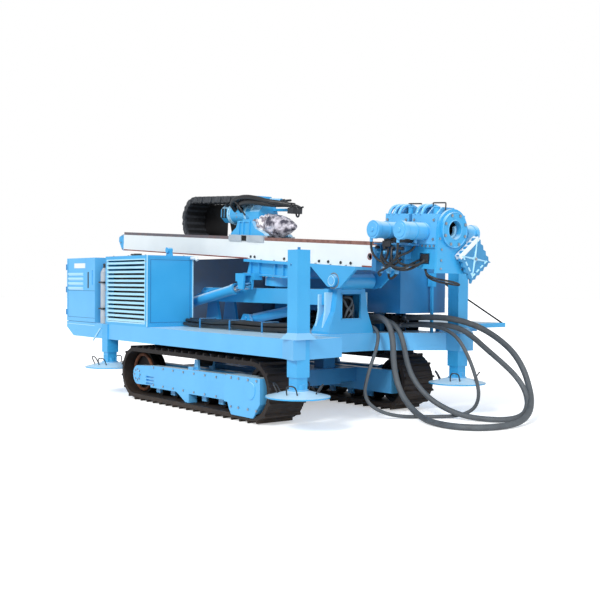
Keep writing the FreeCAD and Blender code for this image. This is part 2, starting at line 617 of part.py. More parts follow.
def boom_head():
    """Hollow column with a window and the hub of the mast pin."""
    x0, x1 = HEAD_X
    flange = box(x0, x1, -HEAD_BASE_HALF, HEAD_BASE_HALF, HEAD_BASE_Z, HEAD_BASE_Z + 22)
    column = head_column()
    hollow = column_loft([(x0 + 20, x1 - 18, HEAD_BASE_HALF - 20, HEAD_BASE_Z - 1), (x0 + 60, x1 - 18, 185, HEAD_MID_Z),
                          (x0 + 70, x1 - 18, 150, HEAD_TOP_Z - 18)])
    window = box(x1 - 40, x1 + 1, -120, 112, DECK_TOP + 145, HEAD_TOP_Z - 50)
    neck = plate_xz([(x0 + 70, HEAD_TOP_Z - 10), (x1, HEAD_TOP_Z - 10), (MAST_PIN.x + 50, MAST_PIN.z - 40),
                     (MAST_PIN.x - 40, MAST_PIN.z + 40), (x0 + 90, HEAD_TOP_Z + 20)], -120, 120)
    hub = cross_rod(MAST_PIN.x, MAST_PIN.z, -HUB_HALF, HUB_HALF, HUB_R)
    bore = cross_rod(MAST_PIN.x, MAST_PIN.z, -HUB_HALF - 1, HUB_HALF + 1, MAST_PIN_R + PIN_GAP)
    return cut(fuse([flange, column.cut(hollow), neck, hub]), [window, bore])


# Cylinders

def cylinder_barrel(base, eye, base_pin_r, radius, length, bore_r, eye_half):
    """Barrel with its base eye, pointing at the rod's eye."""
    axis = (eye - base).normalize()
    body = rod(base + axis * 45, base + axis * length, radius)
    gland = rod(base + axis * (length - 40), base + axis * (length + 12), radius + 6)
    base_eye = cross_rod(base.x, base.z, base.y - eye_half, base.y + eye_half, 46)
    bore = rod(base + axis * 80, base + axis * (length + 20), bore_r + SLIDE_GAP)
    pin_hole = cross_rod(base.x, base.z, base.y - eye_half - 1, base.y + eye_half + 1, base_pin_r + PIN_GAP)
    return cut(fuse([body, gland, base_eye]), [bore, pin_hole])


def cylinder_rod(base, eye, start, radius, eye_r, eye_half, pin_half):
    """Rod with its eye; the pin stub turns between the lugs."""
    axis = (eye - base).normalize()
    bar = rod(base + axis * start, eye, radius)
    head = cross_rod(eye.x, eye.z, eye.y - eye_half, eye.y + eye_half, eye_r)
    pin = cross_rod(eye.x, eye.z, eye.y - pin_half, eye.y + pin_half, 20)
    return fuse([bar, head, pin])


def lift_barrel():
    return cylinder_barrel(LIFT_BASE, LIFT_EYE, 22, 52, 690, 38, 40)


def lift_rod():
    return cylinder_rod(LIFT_BASE, LIFT_EYE, 95, 38, 42, 34, 40)


def tilt_barrel():
    return cylinder_barrel(TILT_BASE, TILT_EYE, 22, 54, 1180, 44, 44)


def tilt_stage():
    """Middle stage of the telescopic tilt cylinder."""
    axis = (TILT_EYE - TILT_BASE).normalize()
    tube = rod(TILT_BASE + axis * 100, TILT_BASE + axis * 1215, 44)
    bore = rod(TILT_BASE + axis * 130, TILT_BASE + axis * 1220, 30 + SLIDE_GAP)
    return tube.cut(bore)


def tilt_rod():
    return cylinder_rod(TILT_BASE, TILT_EYE, 150, 30, 44, 33, 37)


# Mast

def mast_beam():
    """Box section mast with the chain trough in its top."""
    z0, z1 = MAST_Z
    h = MAST_HALF
    shell = box(MAST_REAR, MAST_FRONT, -h, h, z0, z1)
    trough = box(MAST_REAR + 60, MAST_FRONT - 40, -TROUGH_HALF, TROUGH_HALF, z1 - TROUGH_DEPTH, z1 + 1)
    core = box(MAST_REAR - 1, MAST_FRONT + 1, -h + MAST_WALL, h - MAST_WALL, z0 + MAST_WALL,
               z1 - TROUGH_DEPTH - MAST_WALL)
    hole = cross_rod(400, 240, -h - 1, h + 1, 26)
    return to_mast(cut(shell, [trough, core, hole]))


def mast_rails():
    """Two guide rails along the top edges."""
    z = MAST_Z[1]
    rails = [box(MAST_REAR + 10, RAIL_FRONT, *sorted((side * (MAST_HALF - RAIL_WIDTH), side * MAST_HALF)),
                 z, z + RAIL_HEIGHT) for side in (-1, 1)]
    return group([to_mast(r) for r in rails])


def mast_cap():
    """End cap at the rear of the mast with its bevelled rim."""
    z0, z1 = MAST_Z
    x = MAST_REAR
    return to_mast(plate_xz([(x, z0 - 4), (x, z1 + 4), (x - 30, z1), (x - 118, z1 - 34), (x - 122, z1 - 84),
                             (x - 40, z0 + 12)], -MAST_HALF - 4, MAST_HALF + 4))


def cradle():
    """Cradle under the mast: base plate, rear housing, pin ears and the tilt cylinder's lugs."""
    z0 = MAST_Z[0]
    base = box(-1470, 290, -262, 262, z0 - 28, z0)
    ears = []
    for side in (-1, 1):
        y0, y1 = sorted((side * EAR_Y[0], side * EAR_Y[1]))
        ear = plate_xz([(-345, z0 - 28), (290, z0 - 28), (85, -62), (-85, -62)], y0, y1)
        ears.append(fuse([ear, cross_rod(0, 0, y0, y1, 78)]))
        ears.append(cross_rod(0, 0, *sorted((side * EAR_Y[1], side * (EAR_Y[1] + 30))), 58))
    pin = cross_rod(0, 0, -EAR_Y[0], EAR_Y[0], MAST_PIN_R)
    housing = plate_xz([(-1440, z0 - 28), (-790, z0 - 28), (-760, FLANGE_Z), (-1480, FLANGE_Z)], -205, 205)
    drum = Part.makeCylinder(190, 105, V(-1110, 0, FLANGE_Z - 105))
    flange = box(-1500, -740, -240, 240, FLANGE_Z - 8, FLANGE_Z + 8)
    whole = to_mast(fuse([base, pin, housing, flange, drum] + ears))
    # Lug plates of the tilt cylinder, closed behind and above the path of the rod's eye
    x, y, z = TILT_EYE
    side_block = box(x - 70, x + 90, y + 44, -200, z + 60, z + 128)
    back = box(x - 90, x - 60, y - 66, -200, z + 46, z + 128)
    top = box(x - 90, x + 34, y - 66, -200, z + 104, z + 128)
    lugs = [plate_xz([(x - 80, z + 110), (x + 60, z + 110), (x + 40, z - 35), (x - 35, z - 35)],
                     *sorted((y + side * 44, y + side * 66))) for side in (-1, 1)]
    return fuse([whole, side_block, back, top] + lugs)


# Clamp unit

def clamp_frame():
    """Base under the clamps with the tall front plate and its guide bore."""
    z0, z1 = MAST_Z
    floor = box(RAIL_FRONT + 5, CLAMP_PLATE_X, -165, 165, z1, z1 + 30)
    spine = box(MAST_FRONT, CLAMP_PLATE_X - 26, -150, 150, z0 + 20, z1)
    slot = box(CLAMP_PLATE_X - 230, CLAMP_PLATE_X - 110, -151, -40, z0 + 60, z0 + 150)
    lower = box(CLAMP_PLATE_X - 26, CLAMP_PLATE_X, -175, 175, z0 - 10, DRILL_AXIS_Z)
    round_top = rod(V(CLAMP_PLATE_X - 26, 0, DRILL_AXIS_Z), V(CLAMP_PLATE_X, 0, DRILL_AXIS_Z), 175)
    bore = rod(V(CLAMP_PLATE_X - 30, 0, DRILL_AXIS_Z), V(CLAMP_PLATE_X + 1, 0, DRILL_AXIS_Z), RING_BORE_R)
    return to_mast(cut(fuse([floor, spine, lower, round_top]), [bore, slot]))


def clamp_ring():
    """Flange ring with its bolt circle on the front plate."""
    start = V(CLAMP_PLATE_X, 0, DRILL_AXIS_Z)
    ring = rod(start, start + V(24, 0, 0), RING_OUT_R, RING_BORE_R)
    holes = []
    for index in range(RING_BOLTS):
        turn = math.pi * (2 * index + 1) / RING_BOLTS
        centre = start + V(-1, RING_BOLT_R * math.cos(turn), RING_BOLT_R * math.sin(turn))
        holes.append(rod(centre, centre + V(30, 0, 0), RING_BOLT_HOLE_R))
    return to_mast(cut(ring, holes))


def clamp_body(name):
    """One clamp: block with its rod bore, two side cylinders, top ribs and a handle."""
    x = CLAMP_X[name]
    half = CLAMP_LENGTH / 2
    z = DRILL_AXIS_Z
    block = box(x - half, x + half, -CLAMP_HALF, CLAMP_HALF, MAST_Z[1] + 30, z + CLAMP_HALF_HEIGHT)
    cylinders = [cross_rod(x, z - 20, *sorted((side * CLAMP_HALF, side * CLAMP_REACH)), 72) for side in (-1, 1)]
    heads = [cross_rod(x, z - 20, *sorted((side * (CLAMP_REACH - 36), side * (CLAMP_REACH + 4))), 78)
             for side in (-1, 1)]
    ribs = [plate_yz([(-130, z + CLAMP_HALF_HEIGHT), (130, z + CLAMP_HALF_HEIGHT), (70, z + CLAMP_HALF_HEIGHT + 60),
                      (-70, z + CLAMP_HALF_HEIGHT + 60)], x + dx, x + dx + 16) for dx in (-110, -10, 90)]
    bore = rod(V(x - half - 1, 0, z), V(x + half + 1, 0, z), RING_BORE_R)
    return to_mast(cut(fuse([block] + cylinders + heads + ribs), [bore]))


def tooth_plate():
    """Saw-toothed guard plate that hangs tilted on an arm of the front plate."""
    teeth = 5
    size = 300.0
    depth = 16.0
    tilt = math.radians(38)
    y0, z0 = 225.0, 262.0
    points = []
    for corner in range(4):
        turn = tilt - math.pi / 2 * corner
        for index in range(teeth):
            tip = size * (index / teeth - 0.5)
            notch = size * ((index + 0.5) / teeth - 0.5)
            for along, out in ((tip, size / 2), (notch, size / 2 - depth)):
                points.append((y0 + along * math.cos(turn) - out * math.sin(turn),
                               z0 + along * math.sin(turn) + out * math.cos(turn)))
    plate = plate_yz(points, CLAMP_PLATE_X + 30, CLAMP_PLATE_X + 56)
    boss = rod(V(CLAMP_PLATE_X, 100, z0), V(CLAMP_PLATE_X + 42, 100, z0), 34)
    arm = box(CLAMP_PLATE_X + 8, CLAMP_PLATE_X + 42, 100, 220, z0 - 26, z0 + 26)
    return to_mast(fuse([boss, arm, plate]))


# Drill head and its chain

def head_carriage():
    """Slide shoes on both rails, each with a notch, joined by a cross plate."""
    x = HEAD_CENTRE
    half = SHOE_LENGTH / 2
    rail_top = MAST_Z[1] + RAIL_HEIGHT
    top_z = rail_top + SHOE_TOP
    y_in, y_out = MAST_HALF - RAIL_WIDTH - 4, MAST_HALF + 16
    parts = [box(x - 220, x + 125, -y_in - 2, y_in + 2, rail_top + 6, top_z)]
    for side in (-1, 1):
        top = box(x - half, x + half, *sorted((side * y_in, side * y_out)), rail_top + SLIDE_GAP, top_z)
        skirt = box(x - half, x + half, *sorted((side * (MAST_HALF + SLIDE_GAP), side * y_out)),
                    MAST_Z[1] - 14, top_z)
        notch = box(x - 85, x + 15, *sorted((side * (MAST_HALF - 6), side * (y_out + 1))),
                    MAST_Z[1] - 15, top_z - 6)
        parts.append(fuse([top, skirt]).cut(notch))
    return to_mast(fuse(parts))


def head_gearbox():
    """Motor drum above the gear case, which holds the spindle and stands on two flared feet."""
    x = HEAD_CENTRE
    z = DRILL_AXIS_Z
    low = MAST_Z[1] + RAIL_HEIGHT + SHOE_TOP
    drum = rod(V(x - 500, 0, GEARBOX_Z), V(x - 40, 0, GEARBOX_Z), GEARBOX_R)
    seat = box(x - 185, x - 50, -124, 124, low, GEARBOX_Z - 60)
    case = plate_yz([(-124, low), (124, low), (124, GEARBOX_Z + 20), (72, CASE_TOP), (-72, CASE_TOP),
                     (-124, GEARBOX_Z + 20)], x - 60, x + 110)
    collar = rod(V(x + 110, 0, z), V(x + 190, 0, z), 92)
    feet = []
    for side in (-1, 1):
        y0, y1 = sorted((side * 122, side * 184))
        feet.append(plate_xz([(x - 318, low), (x + 318, low), (x + 290, low + 22), (x + 130, low + 75),
                              (x + 72, low + 148), (x - 188, low + 148), (x - 215, low + 75), (x - 300, low + 22)],
                             y0, y1))
    bore = rod(V(x + 20, 0, z), V(x + 191, 0, z), 62 + SLIDE_GAP)
    return to_mast(fuse([drum, seat, case, collar] + feet).cut(bore))


def head_motor():
    """Faceted motor block at the rear of the drum, bevelled at its far end."""
    x = HEAD_CENTRE - 500
    wires = []
    # columns: distance behind the drum, radius to the corners
    for back, radius in ((0, MOTOR_R), (140, MOTOR_R), (200, MOTOR_R - 40)):
        corners = [V(x - back, radius * math.cos(math.pi / 4 * (i + 0.5)),
                     GEARBOX_Z + 3 + radius * math.sin(math.pi / 4 * (i + 0.5))) for i in range(8)]
        wires.append(Part.makePolygon(corners + corners[:1]))
    return to_mast(Part.makeLoft(wires, True, True))


def spindle():
    """Turning spindle with a flange and a tapered nose."""
    x = HEAD_CENTRE
    z = DRILL_AXIS_Z
    # columns: along the axis from the shoe centre, radius
    profile = [(30, 0), (30, 62), (196, 62), (196, 105), (420, 112), (470, 95), (560, 48), (600, 48), (600, 0)]
    wire = Part.makePolygon([V(x + a, 0, z + r) for a, r in profile + profile[:1]])
    return to_mast(Part.Face(wire).revolve(V(x, 0, z), X_AXIS, 360))


CHAIN_BEND_X = -2675.0
CHAIN_HALF = TROUGH_HALF - 6
CHAIN_R_OUT = 264.0
CHAIN_BAND = 72.0
CHAIN_LOW = MAST_Z[1] - TROUGH_DEPTH + 6
CHAIN_TOP = CHAIN_LOW + 2 * CHAIN_R_OUT
CHAIN_UPPER_END = HEAD_CENTRE - 30
CHAIN_LOWER_END = HEAD_CENTRE


def chain_loop():
    """Bend of the drag chain with its lower run, as one band of links."""
    zc = CHAIN_LOW + CHAIN_R_OUT
    outer = cross_rod(CHAIN_BEND_X, zc, -CHAIN_HALF, CHAIN_HALF, CHAIN_R_OUT)
    inner = cross_rod(CHAIN_BEND_X, zc, -CHAIN_HALF - 1, CHAIN_HALF + 1, CHAIN_R_OUT - CHAIN_BAND)
    front = box(CHAIN_BEND_X, CHAIN_BEND_X + 400, -CHAIN_HALF - 1, CHAIN_HALF + 1, CHAIN_LOW - 1, CHAIN_TOP + 1)
    bend = outer.cut(inner).cut(front)
    run = box(CHAIN_BEND_X, CHAIN_LOWER_END, -CHAIN_HALF, CHAIN_HALF, CHAIN_LOW, CHAIN_LOW + CHAIN_BAND)
    stub = box(CHAIN_BEND_X, CHAIN_BEND_X + 60, -CHAIN_HALF, CHAIN_HALF, CHAIN_TOP - CHAIN_BAND, CHAIN_TOP)
    return to_mast(fuse([bend, run, stub]))


def chain_upper():
    """Upper run of the drag chain, which grows and shrinks as the head moves."""
    return to_mast(box(CHAIN_BEND_X + 60, CHAIN_UPPER_END, -CHAIN_HALF, CHAIN_HALF, CHAIN_TOP - CHAIN_BAND, CHAIN_TOP))


def chain_bracket():
    """Angle on the gear case that takes the end of the chain."""
    x = CHAIN_UPPER_END
    plate = box(x, x + 14, -CHAIN_HALF + 20, CHAIN_HALF - 20, CASE_TOP + 10, CHAIN_TOP)
    foot = box(x, x + 90, -70, 70, CASE_TOP, CASE_TOP + 14)
    return to_mast(fuse([plate, foot]))


# Hoses, with the block they leave and the block they return to

# columns: x, y, z of the points of the route
HOSE_A = [(1100, 360, 880), (1275, 360, 925), (1450, 356, 955), (1595, 352, 890), (1660, 348, 735),
          (1662, 352, 550), (1680, 368, 370), (1755, 378, 210), (1900, 362, 100), (2100, 305, 38),
          (2340, 215, 30), (2590, 205, 30), (2770, 345, 30), (2820, 580, 30), (2790, 830, 38),
          (2710, 1060, 85), (2590, 1250, 180), (2460, 1370, 310), (2370, 1400, 460), (2300, 1330, 620),
          (2220, 1200, 750), (2140, 1050, 850), (2050, 890, 915), (1920, 780, 945), (1750, 735, 945),
          (1580, 730, 935), (1420, 730, 930)]
HOSE_B = [(1100, 455, 855), (1275, 462, 888), (1450, 472, 912), (1590, 485, 840), (1650, 500, 690),
          (1668, 525, 510), (1725, 560, 345), (1850, 605, 200), (2030, 655, 100), (2230, 715, 40),
          (2430, 790, 27), (2590, 910, 30), (2640, 1060, 60), (2590, 1200, 140), (2500, 1270, 270),
          (2400, 1240, 410), (2300, 1140, 540), (2210, 1030, 660), (2130, 940, 770), (2040, 850, 850),
          (1920, 770, 875), (1750, 735, 870), (1580, 730, 865), (1420, 730, 862)]
HOSE_C = [(1100, 325, 830), (1270, 322, 845), (1430, 305, 855), (1545, 270, 790), (1590, 205, 660),
          (1605, 125, 520), (1625, 50, 380), (1650, -10, 245), (1690, 30, 130), (1755, 170, 50),
          (1835, 330, 19), (1935, 490, 19), (2040, 640, 19), (2140, 775, 30), (2240, 855, 95),
          (2300, 850, 220), (2315, 800, 360), (2300, 745, 510), (2265, 695, 650), (2190, 665, 770),
          (2070, 655, 835), (1930, 650, 860), (1770, 650, 864), (1590, 650, 860), (1420, 650, 855)]
HOSE_R = {"hose_a": 29.0, "hose_b": 26.0, "hose_c": 17.0}
HOSE_ROUTE = {"hose_a": HOSE_A, "hose_b": HOSE_B, "hose_c": HOSE_C}
SOCKET_LENGTH = 45.0


def route_wire(points):
    """Straight runs joined by tangent arcs, each as large as its two runs allow."""
    pts = [V(*p) for p in points]
    edges = []
    radii = []
    last = pts[0]
    for before, here, after in zip(pts, pts[1:], pts[2:]):
        into, out = (here - before).normalize(), (after - here).normalize()
        half = math.acos(max(-1.0, min(1.0, into.dot(out)))) / 2
        reach = 0.45 * min(here.distanceToPoint(before), here.distanceToPoint(after))
        radii.append(reach / math.tan(half))
        start, end = here - into * reach, here + out * reach
        middle_way = (out - into).normalize()
        bow = radii[-1] / math.cos(half) - radii[-1]
        edges.append(Part.LineSegment(last, start).toShape())
        edges.append(Part.Arc(start, here + middle_way * bow, end).toShape())
        last = end
    edges.append(Part.LineSegment(last, pts[-1]).toShape())
    return Part.Wire(edges), radii


def hose(name):
    """Round tube along its route."""
    wire, radii = route_wire(HOSE_ROUTE[name])
    radius = HOSE_R[name]
    start = wire.Edges[0].Vertexes[0].Point
    direction = wire.Edges[0].tangentAt(wire.Edges[0].FirstParameter)
    profile = Part.Wire([Part.Circle(start, direction, radius).toShape()])
    tube = wire.makePipeShell([profile], True, False)
    expected = math.pi * radius ** 2 * wire.Length
    print(name, "length", round(wire.Length), "smallest radius", round(min(radii)),
          "volume ratio", round(tube.Volume / expected, 4))
    return tube


def hose_sockets(end):
    """Block on the deck with a socket for each hose at one end of the routes."""
    sockets = []
    for name, route in HOSE_ROUTE.items():
        tip, inward = (V(*route[0]), V(*route[1])) if end == "start" else (V(*route[-1]), V(*route[-2]))
        axis = (tip - inward).normalize()
        sockets.append(rod(tip, tip + axis * SOCKET_LENGTH, HOSE_R[name] + 9))
    ys = [V(*(route[0] if end == "start" else route[-1])).y for route in HOSE_ROUTE.values()]
    x = (HOSE_A[0] if end == "start" else HOSE_A[-1])[0] - SOCKET_LENGTH
    block = box(x - 50, x + 8, min(ys) - 60, max(ys) + 50, DECK_TOP, 950)
    return fuse([block] + sockets)


def build():
    """Every sub-part by its node name."""
    nodes = {
        "track_right": track(-1), "track_left": track(1),
        "track_frame_right": track_frame(-1), "track_frame_left": track_frame(1),
        "track_wheels": track_wheels(), "car_body": car_body(), "deck_frame": deck_frame(),
        "deck_corner_right": deck_corner(-1), "deck_corner_left": deck_corner(1),
        "power_box": power_box(), "louvre_panel": louvre_panel(), "engine_block": engine_block(),
        "rear_cabinet": rear_cabinet(), "cabinet_door": cabinet_door(),
        "front_tank": front_tank(), "rear_tank": rear_tank(), "platform": platform(),
        "guard_post": guard_post(), "boom_bracket": boom_bracket(), "boom_arm": boom_arm(),
        "boom_head": boom_head(), "lift_barrel": lift_barrel(), "lift_rod": lift_rod(),
        "tilt_barrel": tilt_barrel(), "tilt_stage": tilt_stage(), "tilt_rod": tilt_rod(),
        "mast_beam": mast_beam(), "mast_rails": mast_rails(), "mast_cap": mast_cap(),
        "cradle": cradle(), "clamp_frame": clamp_frame(),
        "clamp_ring": clamp_ring(), "clamp_rear": clamp_body("rear"), "clamp_front": clamp_body("front"),
        "tooth_plate": tooth_plate(), "head_carriage": head_carriage(), "head_gearbox": head_gearbox(),
        "head_motor": head_motor(), "spindle": spindle(), "chain_loop": chain_loop(),
        "chain_upper": chain_upper(), "chain_bracket": chain_bracket(),
    }
    nodes["hose_manifold"] = group([hose_sockets("start"), hose_sockets("end")])
    for name in HOSE_ROUTE:
        nodes[name] = hose(name)
    nodes["jack_tubes"] = group([jack_tube(x, y, top) for _, x, y, top in jack_places()])
    for name, x, y, top in jack_places():
        nodes[f"jack_leg_{name}"] = jack_leg(x, y, top)
    return nodes


def main():
    os.makedirs("parts", exist_ok=True)
    for name, shape in build().items():
        shape.exportStep(f"parts/{name}.step")


main()
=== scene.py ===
import bpy
import bmesh
import json
import math
from mathutils import Matrix, Vector, noise

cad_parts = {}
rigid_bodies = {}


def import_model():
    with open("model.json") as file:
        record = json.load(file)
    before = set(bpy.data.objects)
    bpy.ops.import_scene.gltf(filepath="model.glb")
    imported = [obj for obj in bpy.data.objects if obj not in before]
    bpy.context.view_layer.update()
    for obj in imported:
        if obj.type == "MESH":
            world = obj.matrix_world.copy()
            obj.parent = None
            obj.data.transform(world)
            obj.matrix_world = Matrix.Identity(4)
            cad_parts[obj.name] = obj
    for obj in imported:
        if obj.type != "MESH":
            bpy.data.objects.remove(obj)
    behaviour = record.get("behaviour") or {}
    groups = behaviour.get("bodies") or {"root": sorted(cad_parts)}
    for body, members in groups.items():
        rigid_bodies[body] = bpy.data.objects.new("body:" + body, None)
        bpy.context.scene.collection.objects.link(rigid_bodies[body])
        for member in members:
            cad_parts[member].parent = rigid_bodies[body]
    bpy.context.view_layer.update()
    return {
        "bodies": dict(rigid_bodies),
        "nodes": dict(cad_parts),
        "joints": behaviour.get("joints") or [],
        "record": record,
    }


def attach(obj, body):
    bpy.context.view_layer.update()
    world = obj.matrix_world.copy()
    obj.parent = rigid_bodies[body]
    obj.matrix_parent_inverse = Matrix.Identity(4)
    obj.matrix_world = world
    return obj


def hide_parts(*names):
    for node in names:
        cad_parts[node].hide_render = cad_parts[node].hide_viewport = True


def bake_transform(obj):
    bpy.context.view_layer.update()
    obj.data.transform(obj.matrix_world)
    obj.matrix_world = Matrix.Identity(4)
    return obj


# Crawler drilling rig. Metres, +X forward, +Y left, +Z up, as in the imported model.

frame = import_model()
NODES = frame["nodes"]

# Places that the pieces are set out from
MAST_PIN = Vector((1.5, 0.0, 1.29))
MAST_SLOPE = math.radians(3.25)
MAST_HALF = 0.19
MAST_LOW = 0.143
MAST_REAR, MAST_FRONT = -4.29, 0.545
DRILL_AXIS = 0.497
HEAD_CENTRE = -1.533
SHOE_TOP = 0.393
DRUM_Z, DRUM_R = 0.622, 0.108
CHAIN_BEND_X = -2.675
CHAIN_HALF = 0.146
CHAIN_MID_R = 0.228
CHAIN_CENTRE_Z = 0.549
CHAIN_BAND = 0.072
DECK_TOP = 0.79
DECK_SIDE = -1.04
BOX_FRONT_X = -0.61
CLAMP_PLATE = 1.205
CLAMP_X = {"rear": 0.705, "front": 1.032}
CLAMP_TOP = 0.625
CYLINDER_END = 0.45
CYLINDER_Z = DRILL_AXIS - 0.02
JACKS = {"front": 1.9, "rear": -1.56}
JACK_Y = 0.985
FOOT_Z = 0.3
MAST = Matrix.Translation(MAST_PIN) @ Matrix.Rotation(MAST_SLOPE, 4, "Y")
HEAD = MAST @ Matrix.Translation((HEAD_CENTRE, 0, 0))
LEVEL = Matrix.Identity(4)


# Materials

def linear(code):
    """Scene-linear colour of a hex code."""
    values = [int(code[i:i + 2], 16) / 255 for i in (1, 3, 5)]
    return [v / 12.92 if v <= 0.04045 else ((v + 0.055) / 1.055) ** 2.4 for v in values] + [1.0]


def fill(node, inputs):
    """Set a node's inputs to values, or link them to sockets."""
    for key, value in inputs.items():
        if isinstance(value, bpy.types.NodeSocket):
            node.id_data.links.new(value, node.inputs[key])
        else:
            node.inputs[key].default_value = value


def add_node(tree, kind, inputs, **settings):
    """New shader node with its settings and inputs."""
    node = tree.nodes.new("ShaderNode" + kind)
    for key, value in settings.items():
        setattr(node, key, value)
    fill(node, inputs)
    return node


def surface(name, colour, second, roughness, scale, bump, bump_scale, metallic=0.0, coat=0.0, spread=0.6,
            fine=0.0, rough_spread=0.12):
    """Procedural surface: two colours mixed by noise, with uneven roughness and a fine bump."""
    mat = bpy.data.materials.new(name)
    mat.use_nodes = True
    tree = mat.node_tree
    place = add_node(tree, "TexCoord", {}).outputs["Object"]
    patch = add_node(tree, "TexNoise", {"Scale": scale, "Detail": 6.0, "Vector": place}).outputs["Fac"]
    ramp = add_node(tree, "ValToRGB", {"Fac": patch})
    for stop, side, code in zip(ramp.color_ramp.elements, (-0.5, 0.5), (second, colour)):
        stop.position = 0.5 + side * spread
        stop.color = linear(code)
    base = ramp.outputs["Color"]
    if fine:
        grain = add_node(tree, "TexNoise", {"Scale": 220.0, "Detail": 3.0, "Vector": place})
        mix = add_node(tree, "MixRGB", {"Fac": fine, "Color1": base, "Color2": grain.outputs["Fac"]},
                       blend_type="OVERLAY")
        base = mix.outputs["Color"]
    low, high = max(0.03, roughness - rough_spread), min(1.0, roughness + rough_spread)
    uneven = add_node(tree, "MapRange", {"To Min": low, "To Max": high, "Value": patch})
    inputs = {"Base Color": base, "Roughness": uneven.outputs["Result"], "Metallic": metallic,
              "Coat Weight": coat, "Coat Roughness": 0.12}
    if bump:
        grain = add_node(tree, "TexNoise", {"Scale": bump_scale, "Detail": 5.0, "Vector": place})
        relief = add_node(tree, "Bump", {"Strength": bump, "Distance": 0.004, "Height": grain.outputs["Fac"]})
        inputs["Normal"] = relief.outputs["Normal"]
    fill(tree.nodes["Principled BSDF"], inputs)
    return mat


def cover(tree, amount, colour):
    """Lay a colour over the base colour by an amount."""
    base = tree.nodes["Principled BSDF"].inputs["Base Color"]
    before = base.links[0].from_socket
    mix = add_node(tree, "MixRGB", {"Fac": amount, "Color1": before, "Color2": linear(colour)})
    tree.links.new(mix.outputs["Color"], base)


def dusty(mat, low, high, colour, amount, axis="Z"):
    """Dust or soil that thins out from one place to another along an axis."""
    tree = mat.node_tree
    place = tree.nodes["Texture Coordinate"].outputs["Object"]
    split = add_node(tree, "SeparateXYZ", {"Vector": place})
    fade = add_node(tree, "MapRange", {"From Min": low, "From Max": high, "To Min": amount, "To Max": 0.0,
                                       "Value": split.outputs[axis]})
    grain = add_node(tree, "TexNoise", {"Scale": 14.0, "Detail": 8.0, "Vector": place})
    times = add_node(tree, "Math", {0: fade.outputs["Result"], 1: grain.outputs["Fac"]}, operation="MULTIPLY",
                     use_clamp=True)
    cover(tree, times.outputs["Value"], colour)


def painted_top_light(mat, colour, amount):
    """Paler colour on the faces that look up: painted light on the tops."""
    tree = mat.node_tree
    facing = add_node(tree, "NewGeometry", {})
    split = add_node(tree, "SeparateXYZ", {"Vector": facing.outputs["True Normal"]})
    fade = add_node(tree, "MapRange", {"From Min": 0.35, "From Max": 0.95, "To Max": amount,
                                       "Value": split.outputs["Z"]})
    cover(tree, fade.outputs["Result"], colour)


# Columns: name, colour, second colour, roughness, scale of the patches, strength and scale of the bump
BLUE = surface("paint_blue", "#3DA8E0", "#339DD8", 0.36, 3, 0.06, 90, coat=0.3)
# Darker copy of the blue paint: painted shade, used on the car body, the front tank, seams, clips and other
# small parts
BLUE_SHADED_COPY = surface("paint_blue_shaded_copy", "#2A7FB6", "#2270A6", 0.45, 4, 0.08, 80, coat=0.15)
# Lighter copy of the blue paint: painted light for the lit near sides, the deck, cabinet, track frames and
# clamp cylinders
BLUE_LIT_COPY = surface("paint_blue_lit_copy", "#5FB4E8", "#51A9E1", 0.4, 3, 0.06, 80, coat=0.25)
# Palest copy of the blue paint: painted highlight on edges, bands, rings and the louvre slats
BLUE_HIGHLIGHT_COPY = surface("paint_blue_highlight_copy", "#AEDDF3", "#9BD2EE", 0.4, 5, 0.05, 90, coat=0.25)
# Dark blue that stands in for the shade under the mast: painted shade
PAINTED_SHADE_NAVY = surface("paint_shade", "#1C4A70", "#163B5A", 0.55, 3, 0.06, 80)
TEAL = surface("paint_teal", "#3E93C6", "#2F7FB1", 0.42, 9, 0.1, 80, coat=0.2, spread=0.5)
WHITE = surface("paint_white", "#E6ECEE", "#D9E1E4", 0.4, 3, 0.05, 80, coat=0.2)
GREY = surface("paint_grey", "#B4BCC3", "#9CA6AF", 0.42, 9, 0.1, 70, coat=0.1, spread=0.5)
RUST = surface("rail_rust", "#6E4A44", "#9C7468", 0.62, 16, 0.25, 120, metallic=0.2, spread=0.5, fine=0.25)
TRACK = surface("track_steel", "#2A2423", "#191515", 0.6, 7, 0.35, 55, metallic=0.4, spread=0.7, fine=0.3)
DARK = surface("dark_steel", "#1B1A1C", "#0E0D0F", 0.5, 8, 0.2, 70, metallic=0.4)
STEEL = surface("bare_steel", "#B9BDC2", "#9C9FA5", 0.33, 14, 0.05, 150, metallic=0.9)
CHROME = surface("chrome", "#D9DCE0", "#C8CCD2", 0.12, 6, 0.0, 60, metallic=1.0, spread=0.5,
                 rough_spread=0.05)
BLACK = surface("black_plastic", "#232427", "#33363A", 0.5, 12, 0.12, 130)
CHAIN_BLACK = surface("chain_plastic", "#2B2D31", "#42464C", 0.48, 22, 0.2, 90, fine=0.2)
RUBBER = surface("hose_rubber", "#5B6166", "#464B50", 0.6, 11, 0.2, 240, fine=0.2)
HOSE_BLACK = surface("hose_black", "#17181A", "#26282B", 0.42, 14, 0.12, 260)
BROWN = surface("idler_rust", "#7A4A30", "#4A2C20", 0.6, 18, 0.25, 90, metallic=0.3, spread=0.5)
EDGE_RED = surface("edge_red", "#8E4034", "#6B2E28", 0.6, 14, 0.1, 120)
FILM = surface("film_silver", "#F4F0F3", "#857D86", 0.3, 24, 0.5, 46, metallic=0.1, spread=0.16)
FILM_DARK = surface("film_grey", "#D3CFDA", "#4A4856", 0.3, 15, 0.5, 60, metallic=0.2, spread=0.16)
BROWN_PALE = surface("collar_brown", "#8F8A84", "#6F6760", 0.55, 20, 0.15, 110, spread=0.5)
dusty(TRACK, 0.0, 0.5, "#6B5A4B", 0.45)
dusty(BLUE_SHADED_COPY, 0.0, 0.5, "#5B6F80", 0.35)
dusty(RUST, -0.9, 0.6, "#66646B", 1.9, "X")
